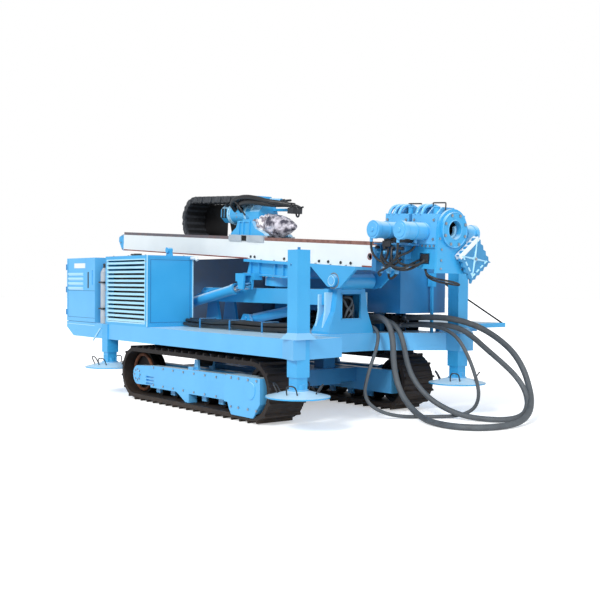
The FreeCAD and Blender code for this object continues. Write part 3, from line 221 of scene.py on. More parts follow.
# Painted light: the upward faces of the blue paints are made paler
for paint in (BLUE, BLUE_LIT_COPY, BLUE_SHADED_COPY):
    painted_top_light(paint, "#D2EEFB", 0.8)


def node_material(mat, *nodes):
    """Give CAD nodes a finish."""
    for name in nodes:
        for slot in NODES[name].material_slots:
            slot.material = mat


node_material(BLUE, "jack_tubes", "power_box", "boom_arm", "boom_head", "mast_cap", "cradle",
              "clamp_frame", "clamp_ring", "head_gearbox",
              "head_motor", "chain_bracket", "platform", "guard_post", "lift_barrel", "tilt_barrel",
              "boom_bracket", "jack_leg_front_right", "jack_leg_front_left", "jack_leg_rear_right",
              "jack_leg_rear_left")
# These parts get the lighter copy of the blue: painted light
node_material(BLUE_LIT_COPY, "deck_frame", "deck_corner_right", "deck_corner_left", "rear_cabinet",
              "cabinet_door", "track_frame_right", "track_frame_left", "clamp_rear", "clamp_front")
# The car body and the front tank get the darker copy of the blue: painted shade
node_material(BLUE_SHADED_COPY, "car_body", "front_tank")
# The rear tank gets the dark blue of painted shade
node_material(PAINTED_SHADE_NAVY, "rear_tank")
node_material(TEAL, "tooth_plate")
# The louvres get the palest copy of the blue: painted light on the slats
node_material(BLUE_HIGHLIGHT_COPY, "louvre_panel")
node_material(WHITE, "mast_beam")
node_material(GREY, "head_carriage")
node_material(RUST, "mast_rails")
node_material(TRACK, "track_right", "track_left")
node_material(DARK, "track_wheels", "engine_block", "hose_manifold")
node_material(CHROME, "lift_rod", "tilt_rod", "tilt_stage")


# Camera, light and floor

CAMERA_AT = Vector((8.1, -5.85, 1.26))
CAMERA_HEADING, CAMERA_PITCH, CAMERA_ROLL = (math.radians(a) for a in (38.2, 1.0, 0.4))
FOCAL_PIXELS, PICTURE_PIXELS = 935.0, 600.0
SENSOR = 36.0
FLOOR_GLOW = 0.42
FLOOR_HALF = 60.0


def add_camera():
    """Camera at the photograph's viewing angle."""
    level = math.cos(CAMERA_PITCH)
    ahead, aside = math.cos(CAMERA_HEADING), math.sin(CAMERA_HEADING)
    forward = Vector((-ahead * level, aside * level, -math.sin(CAMERA_PITCH)))
    right = Vector((aside, ahead, 0.0))
    up = right.cross(forward)
    right_rolled = math.cos(CAMERA_ROLL) * right + math.sin(CAMERA_ROLL) * up
    up_rolled = -math.sin(CAMERA_ROLL) * right + math.cos(CAMERA_ROLL) * up
    data = bpy.data.cameras.new("camera")
    data.sensor_width = SENSOR
    data.lens = SENSOR * FOCAL_PIXELS / PICTURE_PIXELS
    data.clip_end = 200.0
    camera = bpy.data.objects.new("camera", data)
    turn = Matrix((right_rolled, up_rolled, -forward)).transposed()
    camera.matrix_world = Matrix.Translation(CAMERA_AT) @ turn.to_4x4()
    bpy.context.scene.collection.objects.link(camera)
    bpy.context.scene.camera = camera


def add_sun(name, direction, strength, angle, colour=(1, 1, 1)):
    """Soft parallel light that shines along a direction."""
    data = bpy.data.lights.new(name, "SUN")
    data.energy = strength
    data.angle = math.radians(angle)
    data.color = colour
    lamp = bpy.data.objects.new(name, data)
    lamp.rotation_euler = Vector(direction).to_track_quat("-Z", "Y").to_euler()
    bpy.context.scene.collection.objects.link(lamp)


def add_world():
    """Even surroundings, which the camera sees as plain white."""
    world = bpy.data.worlds.new("studio")
    bpy.context.scene.world = world
    world.use_nodes = True
    tree = world.node_tree
    lit = tree.nodes["Background"]
    fill(lit, {"Color": (0.93, 0.96, 1.0, 1.0), "Strength": 0.62})
    path = add_node(tree, "LightPath", {}).outputs
    seen = add_node(tree, "Math", {0: path["Is Camera Ray"], 1: path["Is Transmission Ray"]},
                    operation="MAXIMUM")
    white = add_node(tree, "Background", {"Color": (1.0, 1.0, 1.0, 1.0), "Strength": 1.0})
    mix = add_node(tree, "MixShader", {"Fac": seen.outputs["Value"], 1: lit.outputs["Background"],
                                       2: white.outputs["Background"]})
    fill(tree.nodes["World Output"], {"Surface": mix.outputs["Shader"]})


def add_floor():
    """Pale floor that keeps the shadow."""
    mesh = bpy.data.meshes.new("floor")
    corners = [(x * FLOOR_HALF, y * FLOOR_HALF, 0) for x, y in ((-1, -1), (1, -1), (1, 1), (-1, 1))]
    mesh.from_pydata(corners, [], [(0, 1, 2, 3)])
    floor = bpy.data.objects.new("floor", mesh)
    floor.location.z = -0.002
    bpy.context.scene.collection.objects.link(floor)
    mat = bpy.data.materials.new("floor")
    mat.use_nodes = True
    tree = mat.node_tree
    shader = tree.nodes["Principled BSDF"]
    fill(shader, {"Base Color": (0.96, 0.96, 0.96, 1.0), "Roughness": 0.95, "Specular IOR Level": 0.1})
    path = add_node(tree, "LightPath", {}).outputs
    seen = add_node(tree, "Math", {0: path["Is Camera Ray"], 1: FLOOR_GLOW}, operation="MULTIPLY")
    glow = add_node(tree, "Emission", {"Strength": seen.outputs["Value"]})
    both = add_node(tree, "AddShader", {0: shader.outputs["BSDF"], 1: glow.outputs["Emission"]})
    fill(tree.nodes["Material Output"], {"Surface": both.outputs["Shader"]})
    mesh.materials.append(mat)


bpy.context.scene.view_settings.view_transform = "Standard"
add_camera()
add_world()
add_floor()
add_sun("key", (-0.35, 0.85, -0.62), 2.1, 14.0, (1.0, 0.98, 0.95))
add_sun("fill", (-0.9, 0.15, -0.35), 0.9, 30.0, (0.95, 0.98, 1.0))


# Free hoses, on the routes of the part's source

# Columns: x, y, z of the points of the route
HOSE_A = [(1.1, 0.36, 0.88), (1.275, 0.36, 0.925), (1.45, 0.356, 0.955), (1.595, 0.352, 0.89),
          (1.66, 0.348, 0.735), (1.662, 0.352, 0.55), (1.68, 0.368, 0.37), (1.755, 0.378, 0.21),
          (1.9, 0.362, 0.1), (2.1, 0.305, 0.038), (2.34, 0.215, 0.03), (2.59, 0.205, 0.03),
          (2.77, 0.345, 0.03), (2.82, 0.58, 0.03), (2.79, 0.83, 0.038), (2.71, 1.06, 0.085),
          (2.59, 1.25, 0.18), (2.46, 1.37, 0.31), (2.37, 1.4, 0.46), (2.3, 1.33, 0.62),
          (2.22, 1.2, 0.75), (2.14, 1.05, 0.85), (2.05, 0.89, 0.915), (1.92, 0.78, 0.945),
          (1.75, 0.735, 0.945), (1.58, 0.73, 0.935), (1.42, 0.73, 0.93)]
HOSE_B = [(1.1, 0.455, 0.855), (1.275, 0.462, 0.888), (1.45, 0.472, 0.912), (1.59, 0.485, 0.84),
          (1.65, 0.5, 0.69), (1.668, 0.525, 0.51), (1.725, 0.56, 0.345), (1.85, 0.605, 0.2),
          (2.03, 0.655, 0.1), (2.23, 0.715, 0.04), (2.43, 0.79, 0.027), (2.59, 0.91, 0.03),
          (2.64, 1.06, 0.06), (2.59, 1.2, 0.14), (2.5, 1.27, 0.27), (2.4, 1.24, 0.41),
          (2.3, 1.14, 0.54), (2.21, 1.03, 0.66), (2.13, 0.94, 0.77), (2.04, 0.85, 0.85),
          (1.92, 0.77, 0.875), (1.75, 0.735, 0.87), (1.58, 0.73, 0.865), (1.42, 0.73, 0.862)]
HOSE_C = [(1.1, 0.325, 0.83), (1.27, 0.322, 0.845), (1.43, 0.305, 0.855), (1.545, 0.27, 0.79),
          (1.59, 0.205, 0.66), (1.605, 0.125, 0.52), (1.625, 0.05, 0.38), (1.65, -0.01, 0.245),
          (1.69, 0.03, 0.13), (1.755, 0.17, 0.05), (1.835, 0.33, 0.019), (1.935, 0.49, 0.019),
          (2.04, 0.64, 0.019), (2.14, 0.775, 0.03), (2.24, 0.855, 0.095), (2.3, 0.85, 0.22),
          (2.315, 0.8, 0.36), (2.3, 0.745, 0.51), (2.265, 0.695, 0.65), (2.19, 0.665, 0.77),
          (2.07, 0.655, 0.835), (1.93, 0.65, 0.86), (1.77, 0.65, 0.864), (1.59, 0.65, 0.86),
          (1.42, 0.65, 0.855)]


def nurbs(name, routes, radius, material):
    """Smooth round curves whose control points are the routes, in one object."""
    data = bpy.data.curves.new(name, "CURVE")
    data.dimensions = "3D"
    # The points' radius is the tube's
    data.bevel_depth = 1.0
    data.bevel_resolution = 4
    data.resolution_u = 8
    data.use_fill_caps = True
    for route in routes:
        spline = data.splines.new("NURBS")
        spline.points.add(len(route) - 1)
        for point, place in zip(spline.points, route):
            point.co = (*place, 1.0)
            point.radius = radius
        spline.order_u = 3
        spline.use_endpoint_u = True
    data.materials.append(material)
    curve = bpy.data.objects.new(name, data)
    bpy.context.scene.collection.objects.link(curve)
    return curve


def length_of(curve):
    """Length of a curve's centre line."""
    spline = curve.data.splines[0]
    depth = curve.data.bevel_depth
    curve.data.bevel_depth = 0.0
    mesh = bpy.data.meshes.new_from_object(curve)
    curve.data.bevel_depth = depth
    places = [vertex.co for vertex in mesh.vertices]
    total = sum((places[a] - places[b]).length for a, b in (edge.vertices for edge in mesh.edges))
    bpy.data.meshes.remove(mesh)
    return total


def free_hose(node, points, radius):
    """One of the service hoses that hang from the machine and lie on the ground."""
    hose = nurbs(node.replace("hose", "service_hose"), [points], radius, RUBBER)
    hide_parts(node)
    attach(hose, "carrier")
    length_of(hose)


free_hose("hose_a", HOSE_A, 0.029)
free_hose("hose_b", HOSE_B, 0.026)
free_hose("hose_c", HOSE_C, 0.017)

# Making of the rigid details

class Piece:
    """Faces of one object, gathered in a frame of their own."""

    def __init__(self, frame=LEVEL):
        self.mesh = bmesh.new()
        self.frame = frame

    def block(self, low, high):
        """Box between two corners."""
        low, high = Vector(low), Vector(high)
        size = Matrix.Diagonal((*(high - low), 1.0))
        bmesh.ops.create_cube(self.mesh, size=1.0, matrix=Matrix.Translation((low + high) / 2) @ size)

    def bar(self, start, end, radius, sides=20, tip=None):
        """Round bar or cone between two points."""
        start, end = Vector(start), Vector(end)
        turn = (end - start).to_track_quat("Z", "Y").to_matrix().to_4x4()
        bmesh.ops.create_cone(self.mesh, cap_ends=True, segments=sides, radius1=radius,
                              radius2=radius if tip is None else tip, depth=(end - start).length,
                              matrix=Matrix.Translation((start + end) / 2) @ turn)

    def skin(self, rows):
        """Faces between rings of points, each ring joined to the next."""
        for one, two in zip(rows, rows[1:]):
            for j in range(len(one)):
                k = (j + 1) % len(one)
                self.mesh.faces.new((one[j], one[k], two[k], two[j]))

    def sleeve(self, start, end, height, outer, inner, sides=40):
        """Round tube along X at a height."""
        rows = [[self.mesh.verts.new((x, y, z + height)) for y, z in circle(sides, radius)]
                for x, radius in ((start, inner), (end, inner), (end, outer), (start, outer))]
        self.skin(rows + rows[:1])

    def bolts(self, places, axis, radius=0.011, height=0.009):
        """Hexagon heads that stand on a face."""
        for place in places:
            self.bar(place, Vector(place) + Vector(axis) * height, radius, 6)

    def plate(self, points, axis, near, far):
        """Flat plate with an outline across an axis."""
        order = {"x": (2, 0, 1), "y": (0, 2, 1), "z": (0, 1, 2)}[axis]
        low, high = [[self.mesh.verts.new([(u, v, w)[k] for k in order]) for u, v in points]
                     for w in (near, far)]
        self.mesh.faces.new(low[::-1])
        self.mesh.faces.new(high)
        for i in range(len(points)):
            j = (i + 1) % len(points)
            self.mesh.faces.new((low[i], low[j], high[j], high[i]))

    def hoop(self, centre, axis, radius, thick, sides=40, around=8):
        """Round ring of round section."""
        turn = Matrix.Translation(centre) @ Vector(axis).to_track_quat("Z", "Y").to_matrix().to_4x4()
        rows = [[self.mesh.verts.new(turn @ Vector((u * (radius + w), v * (radius + w), z)))
                 for w, z in circle(around, thick)] for u, v in circle(sides, 1.0)]
        self.skin(rows + rows[:1])

    def add(self, other):
        """Take over the faces of another piece."""
        other.mesh.transform(other.frame)
        made = bpy.data.meshes.new("part")
        other.mesh.to_mesh(made)
        other.mesh.free()
        self.mesh.from_mesh(made)
        bpy.data.meshes.remove(made)

    def finish(self, name, material, body, bevel=0.0, ride=True):
        """Turn the faces into an object on a body."""
        bmesh.ops.recalc_face_normals(self.mesh, faces=self.mesh.faces)
        self.mesh.transform(self.frame)
        data = bpy.data.meshes.new(name)
        self.mesh.to_mesh(data)
        self.mesh.free()
        data.shade_smooth()
        data.set_sharp_from_angle(angle=math.radians(34))
        data.materials.append(material)
        piece = bpy.data.objects.new(name, data)
        bpy.context.scene.collection.objects.link(piece)
        if bevel:
            edge = piece.modifiers.new("edge", "BEVEL")
            edge.width = bevel
            edge.segments = 2
            edge.angle_limit = math.radians(40)
        if ride:
            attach(piece, body)
        return piece


def lines(name, routes, radius, material, body, frame=LEVEL):
    """Fixed pipes or wires, all in one object."""
    curve = nurbs(name, [[frame @ Vector(place) for place in route] for route in routes], radius, material)
    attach(curve, body)


def circle(count, radius, start=0.0):
    """Pairs of numbers evenly round a circle."""
    turns = [start + 2 * math.pi * i / count for i in range(count)]
    return [(radius * math.cos(t), radius * math.sin(t)) for t in turns]


def arc(radius, first, last, steps=12):
    """Pairs of numbers along an arc between two angles in degrees."""
    turns = [math.radians(first + (last - first) * k / steps) for k in range(steps + 1)]
    return [(radius * math.cos(t), radius * math.sin(t)) for t in turns]


# Drag chain

def chain_path(stretch):
    """Place, turn and pitch of each link, of the bend with its lower run or of the upper run."""
    places = []
    if stretch == "upper":
        start, count = CHAIN_BEND_X + 0.06, 11
        pitch = (HEAD_CENTRE - 0.03 - start) / count
        for i in range(count):
            places.append((start + (i + 0.5) * pitch, CHAIN_CENTRE_Z + CHAIN_MID_R, 0.0, pitch))
        return places
    count = 12
    pitch = (HEAD_CENTRE - CHAIN_BEND_X) / count
    for i in range(count):
        places.append((HEAD_CENTRE - (i + 0.5) * pitch, CHAIN_CENTRE_Z - CHAIN_MID_R, math.pi, pitch))
    arc_links = 8
    step = math.pi / arc_links
    for i in range(arc_links):
        turn = -math.pi / 2 - (i + 0.5) * step
        x, z = CHAIN_MID_R * math.cos(turn), CHAIN_MID_R * math.sin(turn)
        places.append((CHAIN_BEND_X + x, CHAIN_CENTRE_Z + z, turn - math.pi / 2, CHAIN_MID_R * step))
    places.append((CHAIN_BEND_X + 0.03, CHAIN_CENTRE_Z + CHAIN_MID_R, 0.0, 0.06))
    return places


def chain_links(name, stretch, node):
    """Links with side plates, bosses, lids and cross bars."""
    chain = Piece(MAST)
    for index, (x, z, turn, pitch) in enumerate(chain_path(stretch)):
        half = CHAIN_BAND / 2 - (0.006 if x < CHAIN_BEND_X else 0.001)
        at = Matrix.Translation((x, 0.0, z)) @ Matrix.Rotation(-turn, 4, "Y")
        link = Piece(at)
        reach = pitch * 0.56
        inset = 0.007 * (index % 2)
        outline = [(-reach, -half * 0.45), (-reach * 0.6, -half), (reach * 0.6, -half), (reach, -half * 0.45),
                   (reach, half * 0.45), (reach * 0.6, half), (-reach * 0.6, half), (-reach, half * 0.45)]
        for side in (-1, 1):
            y = side * (CHAIN_HALF - inset)
            link.plate(outline, "y", y, y - side * 0.012)
            for u, w, out, radius, sides in (
                    (reach * 0.8, 0, 0.004, 0.017, 12), (0, half * 0.35, 0.003, 0.011, 8),
                    (-reach * 0.35, -half * 0.4, 0.003, 0.009, 8)):
                link.bar((u, y, w), (u, y + side * out, w), radius, sides)
        for w in (-1, 1):
            link.block((-pitch * 0.53, -CHAIN_HALF + 0.012, w * half),
                       (pitch * 0.53, CHAIN_HALF - 0.012, w * (half - 0.01)))
            link.block((-0.014, -CHAIN_HALF, w * half - 0.006),
                       (0.014, CHAIN_HALF, w * half + (0.006 if w < 0 else 0)))
        chain.add(link)
    upper = stretch == "upper"
    piece = chain.finish(name, CHAIN_BLACK, "chain", ride=not upper)
    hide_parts(node)
    if upper:
        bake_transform(piece)
    return piece


def chain_lining_and_shade():
    """Hoses that lie in the bend, with a dark plate on its far side and a dark strip along its inside,
    painted shade that fills the bend's inside.
    """
    routes = []
    for y in (-0.085, -0.03, 0.03, 0.085):
        z = CHAIN_CENTRE_Z
        r = CHAIN_MID_R - 0.012
        bend = [(CHAIN_BEND_X - r * math.sin(t), y, z - r * math.cos(t)) for t in
                (math.pi * k / 8 for k in range(9))]
        routes.append([(HEAD_CENTRE - 0.02, y, z - r), (CHAIN_BEND_X + 0.3, y, z - r)] + bend +
                      [(CHAIN_BEND_X + 0.06, y, z + r)])
    lines("chain_hoses", routes, 0.02, HOSE_BLACK, "chain", MAST)
    # Dark plate inside the far side of the bend: painted shade
    bend_shade_plate = Piece(MAST)
    z0, z1 = CHAIN_CENTRE_Z - 0.186, CHAIN_CENTRE_Z + 0.186
    x = CHAIN_BEND_X
    rear = [(x + u, CHAIN_CENTRE_Z + w) for u, w in arc(0.202, 93.6, 266.4, 20)]
    bend_shade_plate.plate([(x + 0.3, z0), (x + 0.3, z1), (x + 0.005, z1)] + rear, "y", 0.128, 0.132)
    bend_shade_plate.finish("chain_shade_plate", DARK, "chain")
    # Dark strip along the inside of the bend: painted shade
    bend_shade_strip = Piece(MAST)
    for i in range(24):
        first, last = -90 - 7.5 * i, -97.5 - 7.5 * i
        ring = arc(CHAIN_MID_R - 0.034, first, last, 1) + arc(CHAIN_MID_R - 0.022, last, first, 1)
        bend_shade_strip.plate([(x + u, CHAIN_CENTRE_Z + w) for u, w in ring], "y", -0.12, 0.12)
    bend_shade_strip.finish("chain_lining_and_shade", HOSE_BLACK, "chain")


chain_links("chain_bend_links", "bend", "chain_loop")
chain_links("chain_upper_links", "upper", "chain_upper")
chain_lining_and_shade()


# Drill head

def crumpled(name, material, body, stations, rough):
    """Film wound round something: rings of half width and half height, creased by noise."""
    film = Piece(MAST)
    around, along = 72, 40
    rows = []
    for i in range(along + 1):
        share = i / along * (len(stations) - 1)
        k = min(int(share), len(stations) - 2)
        t = share - k
        x, cz, hy, hz = [a + (b - a) * t for a, b in zip(stations[k], stations[k + 1])]
        x += HEAD_CENTRE
        row = []
        for j in range(around):
            a = 2 * math.pi * j / around
            base = Vector((x, hy * math.cos(a), hz * math.sin(a)))
            crease = 1 - 2 * abs(noise.noise(base * 21)) - 0.7 * abs(noise.noise(base * 48))
            scale = 1 - rough * (0.6 - crease)
            row.append(film.mesh.verts.new((x + 0.006 * noise.noise(base * 30), base.y * min(1.0, scale),
                                            cz + base.z * min(1.0, scale))))
        rows.append(row)
    film.skin(rows)
    film.mesh.faces.new(rows[0][::-1])
    film.mesh.faces.new(rows[-1])
    return film.finish(name, material, body)


def head_details():
    """Bands, bolts, ribs and ports on the drum, the motor and the feet, with the supply arm and its hoses."""
    bands = Piece(HEAD)
    for x, grow, wide in ((-0.5, 0.012, 0.022), (-0.47, 0.006, 0.012), (-0.19, 0.005, 0.03),
                          (-0.062, 0.009, 0.022)):
        bands.bar((x, 0, DRUM_Z), (x + wide, 0, DRUM_Z), DRUM_R + grow, 48)
    bands.finish("drum_bands", BLUE_HIGHLIGHT_COPY, "head", 0.002)
    bolts = Piece(HEAD)
    for y, z in circle(14, 0.108, 0.2):
        bolts.bolts([(-0.478, y, DRUM_Z + z)], (1, 0, 0), 0.008, 0.01)
    for z in (0.585, 0.625, 0.66):
        bolts.bolts([(-0.33, -0.104 + abs(z - DRUM_Z) * 0.2, z)], (0, -1, 0), 0.009, 0.008)
    for x in (-0.285, -0.235, 0.2, 0.26):
        for side in (-1, 1):
            bolts.bolts([(x, side * 0.172, SHOE_TOP + 0.012)], (0, 0, 1), 0.011, 0.016)
    bolts.finish("head_bolts", STEEL, "head")
    ribs = Piece(HEAD)
    for side in (-1, 1):
        for x in (-0.15, -0.075, 0.035):
            ribs.block((x, side * 0.184, SHOE_TOP), (x + 0.014, side * 0.198, 0.535))
        ribs.block((-0.16, side * 0.184, 0.527), (0.055, side * 0.196, 0.541))
    ribs.finish("foot_ribs", BLUE, "head", 0.002)
    ports = Piece(HEAD)
    for x in (-0.6, -0.545):
        ports.block((x, -0.122, DRUM_Z - 0.05), (x + 0.016, -0.098, DRUM_Z + 0.055))
        ports.block((x, -0.05, DRUM_Z + 0.088), (x + 0.016, 0.05, DRUM_Z + 0.104))
    ports.block((-0.085, -0.127, 0.445), (-0.07, -0.12, 0.52))
    for x, y, z in ((-0.56, -0.07, 0.7), (-0.44, -0.085, 0.695), (-0.4, -0.05, 0.718)):
        bend = (x, y - 0.03, z + 0.025)
        ports.bar((x, y, z), bend, 0.017, 12)
        ports.bar(bend, (x + 0.05, y - 0.045, z + 0.028), 0.012, 12)
    ports.finish("head_ports", BLACK, "head", 0.001)
    # Dark plate behind the motor: painted shade
    motor_shade_plate = Piece(HEAD)
    outline = [(-0.745, 0.42), (-0.795, 0.56), (-0.745, 0.7), (-0.49, 0.7), (-0.49, 0.42)]
    motor_shade_plate.plate(outline, "y", 0.118, 0.122)
    motor_shade_plate.block((-0.6, 0.095, 0.6), (-0.55, 0.119, 0.64))
    motor_shade_plate.finish("head_painted_shade", DARK, "head")
    # Dark patches on the shoes' sides: painted shade for the notches
    notch_shade = Piece(HEAD)
    for side in (-1, 1):
        notch_shade.block((-0.08, side * 0.196, 0.33), (0.012, side * 0.199, 0.388))
    notch_shade.finish("shoe_notch_shade", DARK, "head")
    # Torque arm above the spindle with the block that the supply hoses end in
    arm = Piece(HEAD)
    arm.block((0.085, 0.062, 0.655), (0.45, 0.098, 0.685))
    arm.bar((0.01, 0.1, 0.768), (0.2, 0.1, 0.762), 0.031, 24)
    arm.block((0.06, 0.085, 0.66), (0.09, 0.115, 0.75))
    arm.finish("supply_arm", BLUE, "head", 0.003)
    block = Piece(HEAD)
    block.block((0.44, 0.0, 0.63), (0.53, 0.125, 0.69))
    for y, z in ((0.02, 0.69), (0.07, 0.69), (0.11, 0.69)):
        block.bar((0.47, y, z), (0.47, y, z + 0.03), 0.016, 12)
        block.bar((0.5, y, z), (0.56, y, z + 0.012), 0.01, 10)
    block.bar((0.2, 0.1, 0.763), (0.25, 0.1, 0.768), 0.02, 12)
    block.bar((0.25, 0.1, 0.768), (0.36, 0.1, 0.772), 0.012, 12)
    block.bar((0.3, 0.1, 0.77), (0.3, 0.06, 0.74), 0.012, 12)
    block.finish("supply_block", BLACK, "head", 0.002)
    lines("head_hoses", [
        [(-0.36, -0.095, 0.655), (-0.36, -0.16, 0.71), (-0.27, -0.188, 0.765), (-0.09, -0.192, 0.796),
         (0.1, -0.178, 0.785), (0.27, -0.12, 0.745), (0.4, -0.04, 0.735), (0.47, 0.02, 0.715)],
        [(-0.24, -0.098, 0.65), (-0.23, -0.15, 0.69), (-0.14, -0.18, 0.728), (0.02, -0.182, 0.742),
         (0.18, -0.15, 0.728), (0.31, -0.07, 0.715), (0.42, 0.03, 0.725), (0.47, 0.07, 0.715)]],
          0.026, HOSE_BLACK, "head", HEAD)
    lines("head_small_hoses", [
        [(-0.35, -0.11, 0.72), (-0.31, -0.17, 0.755), (-0.2, -0.2, 0.735), (-0.12, -0.19, 0.66),
         (-0.1, -0.15, 0.6)],
        [(0.3, 0.06, 0.74), (0.34, 0.02, 0.72), (0.4, 0.05, 0.735), (0.47, 0.11, 0.715)],
        [(0.56, 0.02, 0.702), (0.6, 0.03, 0.66), (0.56, 0.06, 0.6), (0.48, 0.09, 0.6),
         (0.46, 0.1, 0.635)]], 0.009, HOSE_BLACK, "head", HEAD)


head_details()
# Columns: distance from the head's centre, height, half width and half height
crumpled("collar_film", FILM, "head",
         [(0.02, 0.515, 0.1, 0.09), (0.035, 0.505, 0.15, 0.128), (0.11, 0.5, 0.156, 0.13),
          (0.17, 0.495, 0.146, 0.124), (0.186, DRILL_AXIS, 0.118, 0.112)], 0.16)
tip_film = crumpled("spindle_film", FILM_DARK, "spindle",
                    [(x, DRILL_AXIS, radius, radius) for x, radius in (
                        (0.201, 0.1), (0.215, 0.128), (0.33, 0.118), (0.43, 0.094), (0.5, 0.066),
                        (0.57, 0.034), (0.6, 0.016))], 0.15)
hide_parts("spindle")


# Mast

def mast_details():
    """Bolts along the cradle, the painted lower edge, the hole's rim and the bolts of the rear cap."""
    bolts = Piece(MAST)
    for side in (-1, 1):
        for x in (-1.44, -1.368, -0.859, -0.308, -0.172, 0.008, 0.149):
            bolts.bolts([(x, side * MAST_HALF, MAST_LOW + 0.026)], (0, side, 0), 0.014, 0.01)
    bolts.finish("mast_bolts", BLACK, "mast")
    edge = Piece(MAST)
    for side in (-1, 1):
        for start, end in ((MAST_REAR + 0.01, -1.5), (0.3, MAST_FRONT - 0.005)):
            edge.block((start, side * MAST_HALF, MAST_LOW),
                       (end, side * (MAST_HALF + 0.0012), MAST_LOW + 0.013))
    edge.finish("mast_edge_line", EDGE_RED, "mast")
    rim = Piece(MAST)
    for side in (-1, 1):
        rim.hoop((0.4, side * MAST_HALF, 0.24), (0, 1, 0), 0.028, 0.004, 28)
    rim.finish("mast_hole_rim", EDGE_RED, "mast")
    cap = Piece(MAST)
    for side in (-1, 1):
        for x, z in ((-0.02, 0.16), (-0.02, 0.33), (-0.06, 0.24)):
            cap.bolts([(MAST_REAR + x, side * 0.194, z)], (0, side, 0), 0.01, 0.008)
    cap.finish("mast_cap_bolts", STEEL, "mast")


def cradle_details():
    """Pin discs with their rings, ribs under the cradle's flange, and bolts."""
    discs = Piece(MAST)
    rings = Piece(MAST)
    for side in (-1, 1):
        discs.bar((0, side * 0.292, 0), (0, side * 0.297, 0), 0.036, 32)
        rings.hoop((0, side * 0.292, 0), (0, 1, 0), 0.044, 0.004, 40)
    discs.finish("pin_discs", BLUE_LIT_COPY, "mast")
    rings.finish("pin_rings", BLUE_HIGHLIGHT_COPY, "mast")
    arcs = Piece(MAST)
    for side in (-1, 1):
        arcs.hoop((0, side * 0.262, 0), (0, 1, 0), 0.07, 0.005, 40)
    arcs.finish("pin_collars", BROWN_PALE, "mast")
    ribs = Piece(MAST)
    for side in (-1, 1):
        for x in (-1.4, -1.25, -0.98, -0.84):
            ribs.plate([(x, 0.114), (x + 0.014, 0.114), (x + 0.014, 0.0), (x, 0.0)], "y",
                       side * 0.205, side * 0.228)
    ribs.finish("cradle_ribs", BLUE, "mast", 0.001)
    bolts = Piece(MAST)
    for x, y in circle(16, 0.212):
        bolts.bolts([(-1.11 + x, y, -0.02)], (0, 0, -1), 0.011, 0.01)
    for side in (-1, 1):
        for i in range(8):
            bolts.bolts([(-1.4 + i * 0.22, side * 0.245, MAST_LOW)], (0, 0, 1), 0.011, 0.01)
    bolts.finish("cradle_bolts", STEEL, "mast")


mast_details()
cradle_details()


# Clamp unit

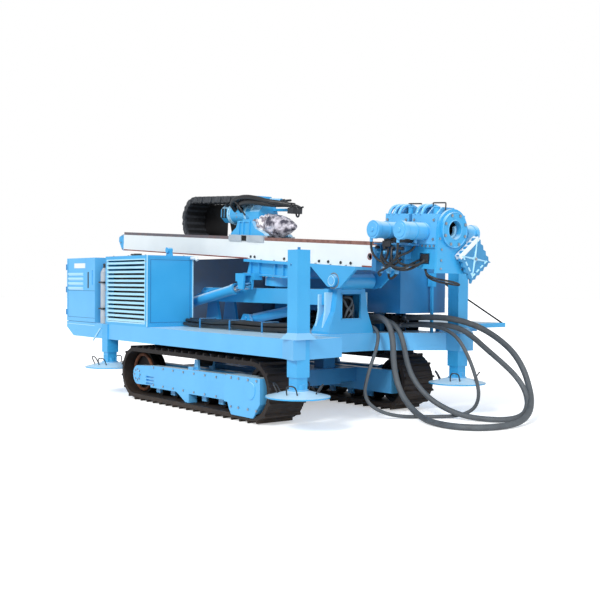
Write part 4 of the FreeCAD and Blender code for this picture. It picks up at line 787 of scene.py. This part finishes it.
def clamp_details():
    """Caps, bands, bolts, ring edges, jaw, dark sleeves of painted shade in the bores, arches, knobs and
    handles.
    """
    caps = Piece(MAST)
    bands = Piece(MAST)
    bolts = Piece(MAST)
    for x in CLAMP_X.values():
        for side in (-1, 1):
            end = side * CYLINDER_END
            caps.bar((x, end, CYLINDER_Z), (x, end + side * 0.007, CYLINDER_Z), 0.06, 40)
            caps.bar((x, end + side * 0.007, CYLINDER_Z), (x, end + side * 0.016, CYLINDER_Z), 0.02, 20)
            for reach in (0.185, 0.3, 0.402):
                bands.bar((x, side * reach, CYLINDER_Z), (x, side * (reach + 0.01), CYLINDER_Z), 0.0765, 48)
            for u in (-0.115, 0.115):
                for w in (-0.085, 0.075):
                    bolts.bolts([(x + u, side * 0.17, DRILL_AXIS + w)], (0, side, 0), 0.012, 0.011)
    caps.finish("clamp_caps", BLUE_LIT_COPY, "mast", 0.002)
    bands.finish("clamp_bands", BLUE, "mast", 0.002)
    for y, z in circle(8, 0.1285, math.pi / 8):
        bolts.bolts([(CLAMP_PLATE + 0.024, y, DRILL_AXIS + z)], (1, 0, 0), 0.0135, 0.01)
    for y, z in ((-0.13, 0.33), (-0.13, 0.24), (-0.13, 0.17), (0.13, 0.33), (0.13, 0.17), (0.155, 0.5),
                 (-0.155, 0.42)):
        bolts.bolts([(CLAMP_PLATE, y, z)], (1, 0, 0), 0.01, 0.008)
    for i in range(6):
        bolts.bolts([(0.93 + i * 0.045, -0.165, 0.356)], (0, -1, 0), 0.01, 0.009)
    bolts.finish("clamp_bolts", STEEL, "mast")
    ring = Piece(MAST)
    ring.hoop((CLAMP_PLATE + 0.024, 0, DRILL_AXIS), (1, 0, 0), 0.146, 0.004, 64)
    ring.hoop((CLAMP_PLATE + 0.024, 0, DRILL_AXIS), (1, 0, 0), 0.08, 0.004, 48)
    ring.finish("ring_edges", BLUE_LIT_COPY, "mast")
    jaw = Piece(MAST)
    crescent = arc(0.0765, -150, 30) + arc(0.052, 30, -150)
    jaw.plate([(y, DRILL_AXIS + z) for y, z in crescent], "x", 1.15, 1.176)
    jaw.finish("clamp_jaw", BLUE_HIGHLIGHT_COPY, "mast", 0.002)
    # Dark sleeves inside the clamp bores: painted shade in the bores
    bore_shade = Piece(MAST)
    for x in CLAMP_X.values():
        bore_shade.sleeve(x - 0.14, x + 0.14, DRILL_AXIS, 0.0775, 0.0755)
    bore_shade.finish("bore_painted_shade", DARK, "mast")
    arches = []
    for x in (0.6, 0.66, 0.72, 0.93, 0.99):
        arches.append([(x, -0.165, CLAMP_TOP - 0.01), (x + 0.005, -0.15, CLAMP_TOP + 0.05),
                       (x + 0.015, -0.08, CLAMP_TOP + 0.078), (x + 0.025, 0.0, CLAMP_TOP + 0.07),
                       (x + 0.03, 0.05, CLAMP_TOP + 0.03)])
    lines("clamp_arches", arches, 0.015, BLUE_LIT_COPY, "mast", MAST)
    knobs = Piece(MAST)
    for x in (0.635, 0.8, 0.96, 1.1):
        knobs.bar((x, -0.1, CLAMP_TOP), (x, -0.1, CLAMP_TOP + 0.052), 0.024, 20)
        knobs.bar((x, -0.1, CLAMP_TOP + 0.052), (x, -0.1, CLAMP_TOP + 0.064), 0.03, 20)
    knobs.finish("clamp_knobs", BLUE, "mast", 0.003)
    handles = []
    for x0, x1, top in ((0.725, 0.885, 0.716), (1.018, 1.165, 0.722)):
        handles.append([(x, -0.06, z) for x, z in (
            (x0, CLAMP_TOP), (x0, top - 0.03), (x0, top), (x0 + 0.02, top), (x1 - 0.02, top), (x1, top),
            (x1, top - 0.03), (x1, CLAMP_TOP))])
    lines("clamp_handles", handles, 0.006, BLACK, "mast", MAST)


def clamp_plumbing():
    """Valve group under the near clamp cylinders with its fittings and fixed hoses."""
    rack = Piece(MAST)
    rack.block((0.575, -0.315, 0.352), (1.0, -0.165, 0.366))
    for x in (0.6, 0.7, 0.8, 0.9):
        rack.block((x, -0.3, 0.235), (x + 0.055, -0.225, 0.352))
        rack.block((x + 0.01, -0.29, 0.165), (x + 0.045, -0.235, 0.235))
    rack.block((0.585, -0.335, 0.12), (0.64, -0.265, 0.33))
    rack.finish("valve_group", BLUE_SHADED_COPY, "mast", 0.003)
    pale = Piece(MAST)
    for x in (0.612, 0.712, 0.812):
        pale.bar((x + 0.015, -0.262, 0.165), (x + 0.015, -0.262, 0.105), 0.017, 16)
        pale.bar((x + 0.015, -0.262, 0.118), (x + 0.015, -0.262, 0.13), 0.023, 6)
        pale.bar((x + 0.015, -0.301, 0.285), (x + 0.015, -0.33, 0.285), 0.016, 16)
    for x in CLAMP_X.values():
        for y in (-0.42, -0.215):
            pale.bar((x - 0.045, y, CYLINDER_Z - 0.072), (x - 0.045, y, CYLINDER_Z - 0.105), 0.014, 14)
    pale.finish("valve_fittings", BLUE_LIT_COPY, "mast", 0.001)
    dark = Piece(MAST)
    dark.bar((0.64, -0.235, 0.395), (0.96, -0.235, 0.395), 0.021, 18)
    dark.block((0.7, -0.33, 0.335), (0.8, -0.29, 0.385))
    for x in (0.63, 0.73, 0.83, 0.93):
        dark.bar((x, -0.302, 0.325), (x, -0.335, 0.325), 0.015, 14)
    dark.block((0.988, -0.1535, 0.212), (1.084, -0.15, 0.286))
    dark.finish("valve_blacks", BLACK, "mast", 0.002)
    a, b = CLAMP_X["rear"] - 0.045, CLAMP_X["front"] - 0.045
    low = CYLINDER_Z - 0.105
    lines("clamp_hoses", [
        [(a, -0.42, low), (a, -0.42, low - 0.06), (a + 0.02, -0.4, 0.25), (a + 0.07, -0.36, 0.2),
         (a + 0.12, -0.34, 0.22), (a + 0.13, -0.335, 0.325)],
        [(b, -0.42, low), (b, -0.42, low - 0.07), (b - 0.03, -0.4, 0.24), (b - 0.1, -0.37, 0.2),
         (b - 0.15, -0.35, 0.26), (b - 0.157, -0.335, 0.325)],
        [(a, -0.215, low), (a, -0.22, low - 0.05), (a + 0.05, -0.36, 0.28), (a + 0.16, -0.38, 0.19),
         (b - 0.02, -0.34, 0.15), (b, -0.25, 0.2), (b + 0.01, -0.15, 0.24)],
        [(b, -0.215, low), (b, -0.23, low - 0.06), (b - 0.05, -0.37, 0.26), (b - 0.14, -0.37, 0.17),
         (a + 0.04, -0.35, 0.12), (a + 0.01, -0.33, 0.1), (0.627, -0.262, 0.075), (0.627, -0.262, 0.105)],
        [(0.727, -0.262, 0.105), (0.727, -0.262, 0.075), (0.76, -0.27, 0.06), (0.8, -0.265, 0.075),
         (0.827, -0.262, 0.105)],
        [(0.9, -0.3, 0.29), (0.91, -0.35, 0.26), (0.93, -0.35, 0.2), (0.99, -0.26, 0.18), (1.03, -0.17, 0.21),
         (1.03, -0.15, 0.24)],
        [(0.8, -0.3, 0.26), (0.81, -0.345, 0.22), (0.86, -0.345, 0.15), (0.95, -0.26, 0.14),
         (1.02, -0.18, 0.2), (1.04, -0.15, 0.23)],
        [(0.7, -0.3, 0.3), (0.7, -0.35, 0.27), (0.76, -0.365, 0.18), (0.84, -0.34, 0.17), (0.9, -0.3, 0.22),
         (0.92, -0.28, 0.27)]], 0.0105, HOSE_BLACK, "mast", MAST)
    lines("clamp_loop", [
        [(1.02, -0.12, 0.165), (1.03, -0.12, 0.12), (1.1, -0.09, 0.085), (1.19, -0.03, 0.07),
         (1.235, 0.02, 0.06), (1.25, 0.06, 0.045), (1.235, 0.08, 0.035), (1.18, 0.05, 0.04),
         (1.08, -0.02, 0.055), (1.01, -0.07, 0.085), (1.0, -0.09, 0.13), (1.0, -0.09, 0.165)]],
          0.009, HOSE_BLACK, "mast", MAST)


def tooth_details():
    """Pale edge band, cross creases and slots of the toothed plate."""
    centre = Matrix.Translation((CLAMP_PLATE + 0.056, 0.225, 0.262))
    frame_on_plate = MAST @ centre @ Matrix.Rotation(math.radians(38), 4, "X")
    band = Piece(frame_on_plate)
    band.block((-0.052, -0.14, 0.096), (0.003, 0.14, 0.139))
    band.finish("tooth_band", WHITE, "mast", 0.003)
    ribs = Piece(frame_on_plate)
    for turn in (0, 1, 2, 3):
        x, y = (math.cos(turn * math.pi / 2 + math.pi / 4), math.sin(turn * math.pi / 2 + math.pi / 4))
        ribs.bar((0.001, 0.0, 0.0), (0.001, x * 0.165, y * 0.165), 0.011, 10, 0.004)
    for u in (-0.09, -0.03, 0.03, 0.09):
        ribs.bar((0.002, u - 0.018, -0.105), (0.002, u + 0.018, -0.105), 0.008, 10)
        ribs.bar((0.002, -0.105, u - 0.018), (0.002, -0.105, u + 0.018), 0.008, 10)
    ribs.bar((-0.012, 0.0, 0.0), (0.01, 0.0, 0.0), 0.022, 24)
    ribs.finish("tooth_ribs", BLUE_HIGHLIGHT_COPY, "mast")
    bolt = Piece(frame_on_plate)
    bolt.bolts([(0.01, 0, 0)], (1, 0, 0), 0.013, 0.01)
    bolt.finish("tooth_bolt", STEEL, "mast")


clamp_details()
clamp_plumbing()
tooth_details()


# Housings

def cabinet_details():
    """Blank plate, vent bars, handle and seams of the cabinet door, and the bottle beside it."""
    y = DECK_SIDE
    face = (y - 0.003, y)
    plate = Piece()
    plate.block((-2.39, face[0], 1.425), (-2.094, face[1], 1.483))
    plate.finish("blank_plate", WHITE, "cabinet_door", 0.001)
    vents = Piece()
    for i in range(4):
        z = 1.372 - i * 0.056
        outline = [(y - 0.004, z), (y - 0.013, z - 0.004), (y - 0.013, z - 0.02), (y, z - 0.036), (y, z)]
        vents.plate(outline, "x", -2.545, -2.14)
    vents.finish("door_vents", BLUE_HIGHLIGHT_COPY, "cabinet_door", 0.001)
    handle = Piece()
    handle.block((-2.028, y - 0.004, 1.19), (-2.002, y + 0.006, 1.379))
    handle.finish("door_handle", BLACK, "cabinet_door", 0.003)
    seams = Piece()
    for z in (1.158, 0.842):
        seams.block((-2.57, y - 0.0012, z), (-1.845, y, z + 0.006))
    seams.block((-2.57, y - 0.0012, 0.842), (-2.564, y, 1.535))
    seams.finish("door_seams", BLUE_SHADED_COPY, "cabinet_door")
    hinges = Piece()
    for z in (0.9, 1.17, 1.44):
        hinges.bar((-2.603, y - 0.004, z - 0.035), (-2.603, y - 0.004, z + 0.035), 0.008, 16)
    hinges.finish("door_hinges", BLUE_SHADED_COPY, "carrier")
    sill = Piece()
    sill.block((-2.585, y - 0.0012, 0.757), (-1.845, y, 0.763))
    sill.plate([(-1.885, 0.585), (-1.862, 0.585), (-1.665, 0.735), (-1.688, 0.735)], "y", y - 0.012, y)
    sill.finish("sill_lines", BLUE_HIGHLIGHT_COPY, "carrier")
    bottle = Piece()
    bottle.bar((-1.71, -0.98, DECK_TOP), (-1.71, -0.98, 1.375), 0.047, 32)
    bottle.bar((-1.71, -0.98, 1.375), (-1.71, -0.98, 1.425), 0.047, 32, 0.02)
    bottle.finish("air_bottle", GREY, "carrier", 0.004)
    top = Piece()
    top.bar((-1.71, -0.98, 1.425), (-1.71, -0.98, 1.475), 0.018, 20)
    top.bar((-1.74, -0.98, 1.462), (-1.68, -0.98, 1.462), 0.01, 14)
    for z in (0.95, 1.25):
        top.block((-1.765, -1.032, z), (-1.655, -0.93, z + 0.018))
    top.finish("bottle_valve", BLACK, "carrier", 0.002)


def box_details():
    """Cap, light bar, inner frame line, pale edge bars of painted highlight and corner bolts of the engine
    housing.
    """
    x = BOX_FRONT_X
    cap = Piece()
    cap.bar((-1.43, -0.74, 1.568), (-1.43, -0.74, 1.582), 0.05, 32)
    cap.bar((-0.92, -0.985, 1.55), (-0.92, -0.985, 1.572), 0.045, 32)
    for u, w in circle(10, 0.046):
        cap.bar((-1.43 + u, -0.74 + w, 1.568), (-1.43 + u, -0.74 + w, 1.585), 0.008, 8)
    cap.finish("filler_cap", BLACK, "carrier", 0.003)
    light = Piece()
    light.bar((x + 0.002, -0.5, 1.527), (x + 0.1, -0.5, 1.527), 0.018, 20)
    light.bar((x + 0.1, -0.5, 1.527), (x + 0.12, -0.5, 1.505), 0.018, 20)
    light.finish("work_light", WHITE, "carrier", 0.002)
    line = Piece()
    y0, y1, z0, z1 = -1.0, -0.51, 0.835, 1.5
    for low, high in (((y0, z0), (y1, z0 + 0.007)), ((y0, z1), (y1, z1 + 0.007)),
                      ((y0, z0), (y0 + 0.007, z1)), ((y1 - 0.007, z0), (y1, z1 + 0.007))):
        line.block((x - 0.006, low[0], low[1]), (x - 0.002, high[0], high[1]))
    line.finish("panel_line", BLUE_SHADED_COPY, "carrier")
    # Pale bars on the housing's front edges: painted highlight
    edges = Piece()
    for y in (DECK_SIDE, -0.48):
        edges.bar((x, y, 0.795), (x, y, 1.55), 0.006, 8)
    edges.finish("box_edge_highlights", BLUE_HIGHLIGHT_COPY, "carrier")
    bolts = Piece()
    for z in (0.86, 1.17, 1.48):
        for bx in (-1.557, -0.636):
            bolts.bolts([(bx, DECK_SIDE, z)], (0, -1, 0), 0.008, 0.006)
    for bx in (-1.45, -1.1, -0.72):
        for by in (-1.0, -0.53):
            bolts.bolts([(bx, by, 1.55)], (0, 0, 1), 0.01, 0.008)
    bolts.finish("box_bolts", STEEL, "carrier")


cabinet_details()
box_details()


# Deck, jacks and column

def jack_details():
    """Wire loops on the feet and pins in the tubes."""
    for end, x in JACKS.items():
        for side, hand in ((-1, "right"), (1, "left")):
            y = side * JACK_Y
            loops = []
            for u, w in ((-0.13, -0.1), (0.13, 0.1), (0.1, -0.14), (-0.1, 0.14)):
                base = Vector((x + u, y + w, FOOT_Z + 0.03))
                out = Vector((u, w, 0)).normalized()
                cross = Vector((-out.y, out.x, 0)) * 0.045
                loops.append([base - cross, base - cross + out * 0.03 + Vector((0, 0, 0.06)),
                              base - cross * 0.5 + out * 0.05 + Vector((0, 0, 0.085)),
                              base + cross * 0.5 + out * 0.05 + Vector((0, 0, 0.085)),
                              base + cross + out * 0.03 + Vector((0, 0, 0.06)), base + cross])
            lines(f"foot_loops_{end}_{hand}", loops, 0.006, BLACK, f"jack_leg_{end}_{hand}")
            if end == "front":
                pins = Piece()
                pins.bar((x - 0.02, y - 0.072, 1.42), (x - 0.02, y - 0.0675, 1.42), 0.01, 14)
                pins.bar((x, y, 1.545), (x, y, 1.568), 0.013, 16)
                pins.finish(f"jack_pins_{hand}", BLUE_SHADED_COPY, "carrier")


def column_details():
    """Window frame, side ribs, base bolts and the hoses inside the column."""
    x = 1.455
    ribs = Piece()
    for side in (-1, 1):
        outer = [(1.215, 0.815), (1.235, 0.815), (1.285, 1.0), (1.285, 1.16), (1.268, 1.16), (1.265, 1.0)]
        inner = [(1.325, 0.815), (1.343, 0.815), (1.385, 1.0), (1.385, 1.18), (1.368, 1.18), (1.368, 1.0)]
        ribs.plate(outer, "y", side * 0.262, side * 0.17)
        ribs.plate(inner, "y", side * 0.266, side * 0.17)
    ribs.finish("column_ribs", BLUE_HIGHLIGHT_COPY, "boom", 0.002)
    rim = Piece()
    for low, high in (((-0.13, 0.925), (-0.12, 1.175)), ((0.112, 0.925), (0.122, 1.175)),
                      ((-0.13, 0.925), (0.122, 0.935)), ((-0.13, 1.165), (0.122, 1.175))):
        rim.block((x, low[0], low[1]), (x + 0.006, high[0], high[1]))
    rim.finish("column_window_rim", BLUE, "boom", 0.001)
    bolts = Piece()
    for side in (-1, 1):
        for bx in (1.225, 1.3, 1.38, 1.44):
            bolts.bolts([(bx, side * 0.268, 0.812)], (0, 0, 1), 0.01, 0.01)
    for by in (-0.22, -0.11, 0.0, 0.11, 0.22):
        bolts.bolts([(1.448, by, 0.812)], (0, 0, 1), 0.006, 0.01)
    bolts.finish("column_bolts", STEEL, "boom")
    inside = Piece()
    inside.block((1.3, -0.1, 0.84), (1.36, 0.1, 1.15))
    inside.finish("column_valve", DARK, "boom", 0.004)
    lines("column_hoses", [
        [(1.37, -0.05, 0.9), (1.41, -0.05, 0.93), (1.42, -0.02, 1.02), (1.42, 0.03, 1.06), (1.42, 0.04, 1.11),
         (1.4, 0.0, 1.14), (1.36, -0.02, 1.13)],
        [(1.36, 0.06, 0.88), (1.4, 0.06, 0.93), (1.42, 0.03, 1.0), (1.41, -0.03, 1.05), (1.41, -0.05, 1.1),
         (1.37, -0.06, 1.12)],
        [(1.36, 0.0, 0.9), (1.41, 0.0, 0.95), (1.42, 0.05, 1.0), (1.41, 0.06, 1.08), (1.36, 0.06, 1.12)]],
          0.011, RUBBER, "boom")


def deck_pipes():
    """Lines clipped to the deck beside the boom, a dark plate of painted shade under the front tank, and what
    stands under the tank and on the platform.
    """
    lines("deck_lines_near", [
        [(-0.58, y, z), (-0.4, y + 0.005, z - 0.01), (0.1, y + 0.04 * k, z), (0.4, y - 0.03, z + 0.008),
         (0.75, y + 0.05, z - 0.008), (1.02, y + 0.04, z), (1.16, y + 0.1, z)]
        for y, z, k in ((-0.6, 0.822, 1), (-0.55, 0.82, -1), (-0.5, 0.824, 1), (-0.57, 0.86, -1),
                        (-0.52, 0.868, 1))], 0.02, HOSE_BLACK, "carrier")
    lines("deck_lines_middle", [
        [(-0.55, y, 0.812), (-0.35, y, 0.812), (0.25, y * 0.9, 0.812), (0.85, y, 0.812), (1.14, y, 0.812)]
        for y in (-0.45, -0.4, 0.36, 0.41)], 0.019, HOSE_BLACK, "carrier")
    lines("tank_lines", [
        [(-0.3, y, z), (0.1, y + 0.01, z), (0.6, y - 0.01, z), (0.95, y, z), (1.05, y, z)]
        for y, z in ((0.48, 0.815), (0.52, 0.86), (0.5, 0.905), (0.6, 0.82), (0.66, 0.87), (0.58, 0.925),
                     (0.72, 0.815), (0.75, 0.91), (0.84, 0.86), (0.9, 0.92), (0.95, 0.82), (1.0, 0.88))],
          0.022, HOSE_BLACK, "carrier")
    # Dark plate under the front tank: painted shade
    under_tank_shade = Piece()
    under_tank_shade.block((-0.3, 1.006, DECK_TOP), (1.34, 1.016, 0.952))
    under_tank_shade.finish("tank_painted_shade", DARK, "carrier")
    bank = Piece()
    for i in range(5):
        bank.block((0.98, 0.52 + i * 0.075, DECK_TOP), (1.04, 0.575 + i * 0.075, 0.95))
        bank.bar((1.04, 0.5475 + i * 0.075, 0.9), (1.075, 0.5475 + i * 0.075, 0.9), 0.016, 14)
    bank.block((0.96, 0.5, DECK_TOP), (0.985, 0.9, 0.965))
    bank.finish("valve_bank", DARK, "carrier", 0.002)
    stay = Piece()
    stay.bar((1.93, 1.62, 0.872), (1.32, 1.152, 1.394), 0.0085, 14)
    stay.finish("stay_rod", DARK, "carrier")
    clips = Piece()
    for x in (-0.2, 0.35, 0.9):
        clips.block((x, -0.655, DECK_TOP), (x + 0.02, -0.645, 0.894))
        clips.block((x, -0.655, 0.888), (x + 0.02, -0.455, 0.894))
        clips.block((x, -0.465, DECK_TOP), (x + 0.02, -0.455, 0.894))
    for x in (0.0, 0.7):
        clips.block((x, 0.455, DECK_TOP), (x + 0.03, 0.465, 0.956))
        clips.block((x, 0.455, 0.948), (x + 0.03, 0.7, 0.956))
        clips.block((x, 0.695, DECK_TOP), (x + 0.03, 0.705, 0.956))
    clips.finish("line_clips", BLUE_SHADED_COPY, "carrier", 0.002)


def socket_collars():
    """Ferrules and nuts where the service hoses leave and enter their blocks."""
    collars = Piece()
    for route, radius in ((HOSE_A, 0.029), (HOSE_B, 0.026), (HOSE_C, 0.017)):
        for end, inner in ((route[0], route[1]), (route[-1], route[-2])):
            end = Vector(end)
            axis = (Vector(inner) - end).normalized()
            collars.bar(end - axis * 0.004, end + axis * 0.055, radius + 0.005, 28)
            collars.bar(end - axis * 0.03, end - axis * 0.006, radius + 0.013, 6)
    collars.finish("hose_ferrules", STEEL, "carrier", 0.001)


def track_details():
    """Idler rings, bolts on the side frames and on the shoes."""
    rings = Piece()
    bolts = Piece()
    for side in (-1, 1):
        face = side * 0.99
        rings.hoop((-0.9275, side * 0.9, 0.2925), (0, 1, 0), 0.19, 0.018, 48)
        for x in (-0.55, -0.35, -0.15, 0.05, 0.25, 0.45, 0.65):
            for z in (0.185, 0.368):
                bolts.bolts([(x, face, z)], (0, side, 0), 0.011, 0.009)
        for x in (0.98, 1.1, 1.25, 1.38):
            for z in (0.13, 0.395):
                bolts.bolts([(x, side * 1.042, z)], (0, side, 0), 0.012, 0.009)
        for u, w in circle(8, 0.06):
            bolts.bolts([(-0.9 + u, face, 0.27 + w)], (0, side, 0), 0.009, 0.008)
    rings.finish("idler_rings", BROWN, "carrier")
    bolts.finish("frame_bolts", STEEL, "carrier")
    hubs = Piece()
    for side in (-1, 1):
        hubs.bar((-0.9, side * 0.988, 0.27), (-0.9, side * 0.998, 0.27), 0.046, 32)
        hubs.bar((1.2775, side * 1.04, 0.3), (1.2775, side * 1.05, 0.3), 0.08, 40)
    hubs.finish("frame_hubs", BLUE_LIT_COPY, "carrier", 0.002)


jack_details()
column_details()
deck_pipes()
socket_collars()
track_details()


bpy.context.view_layer.update()
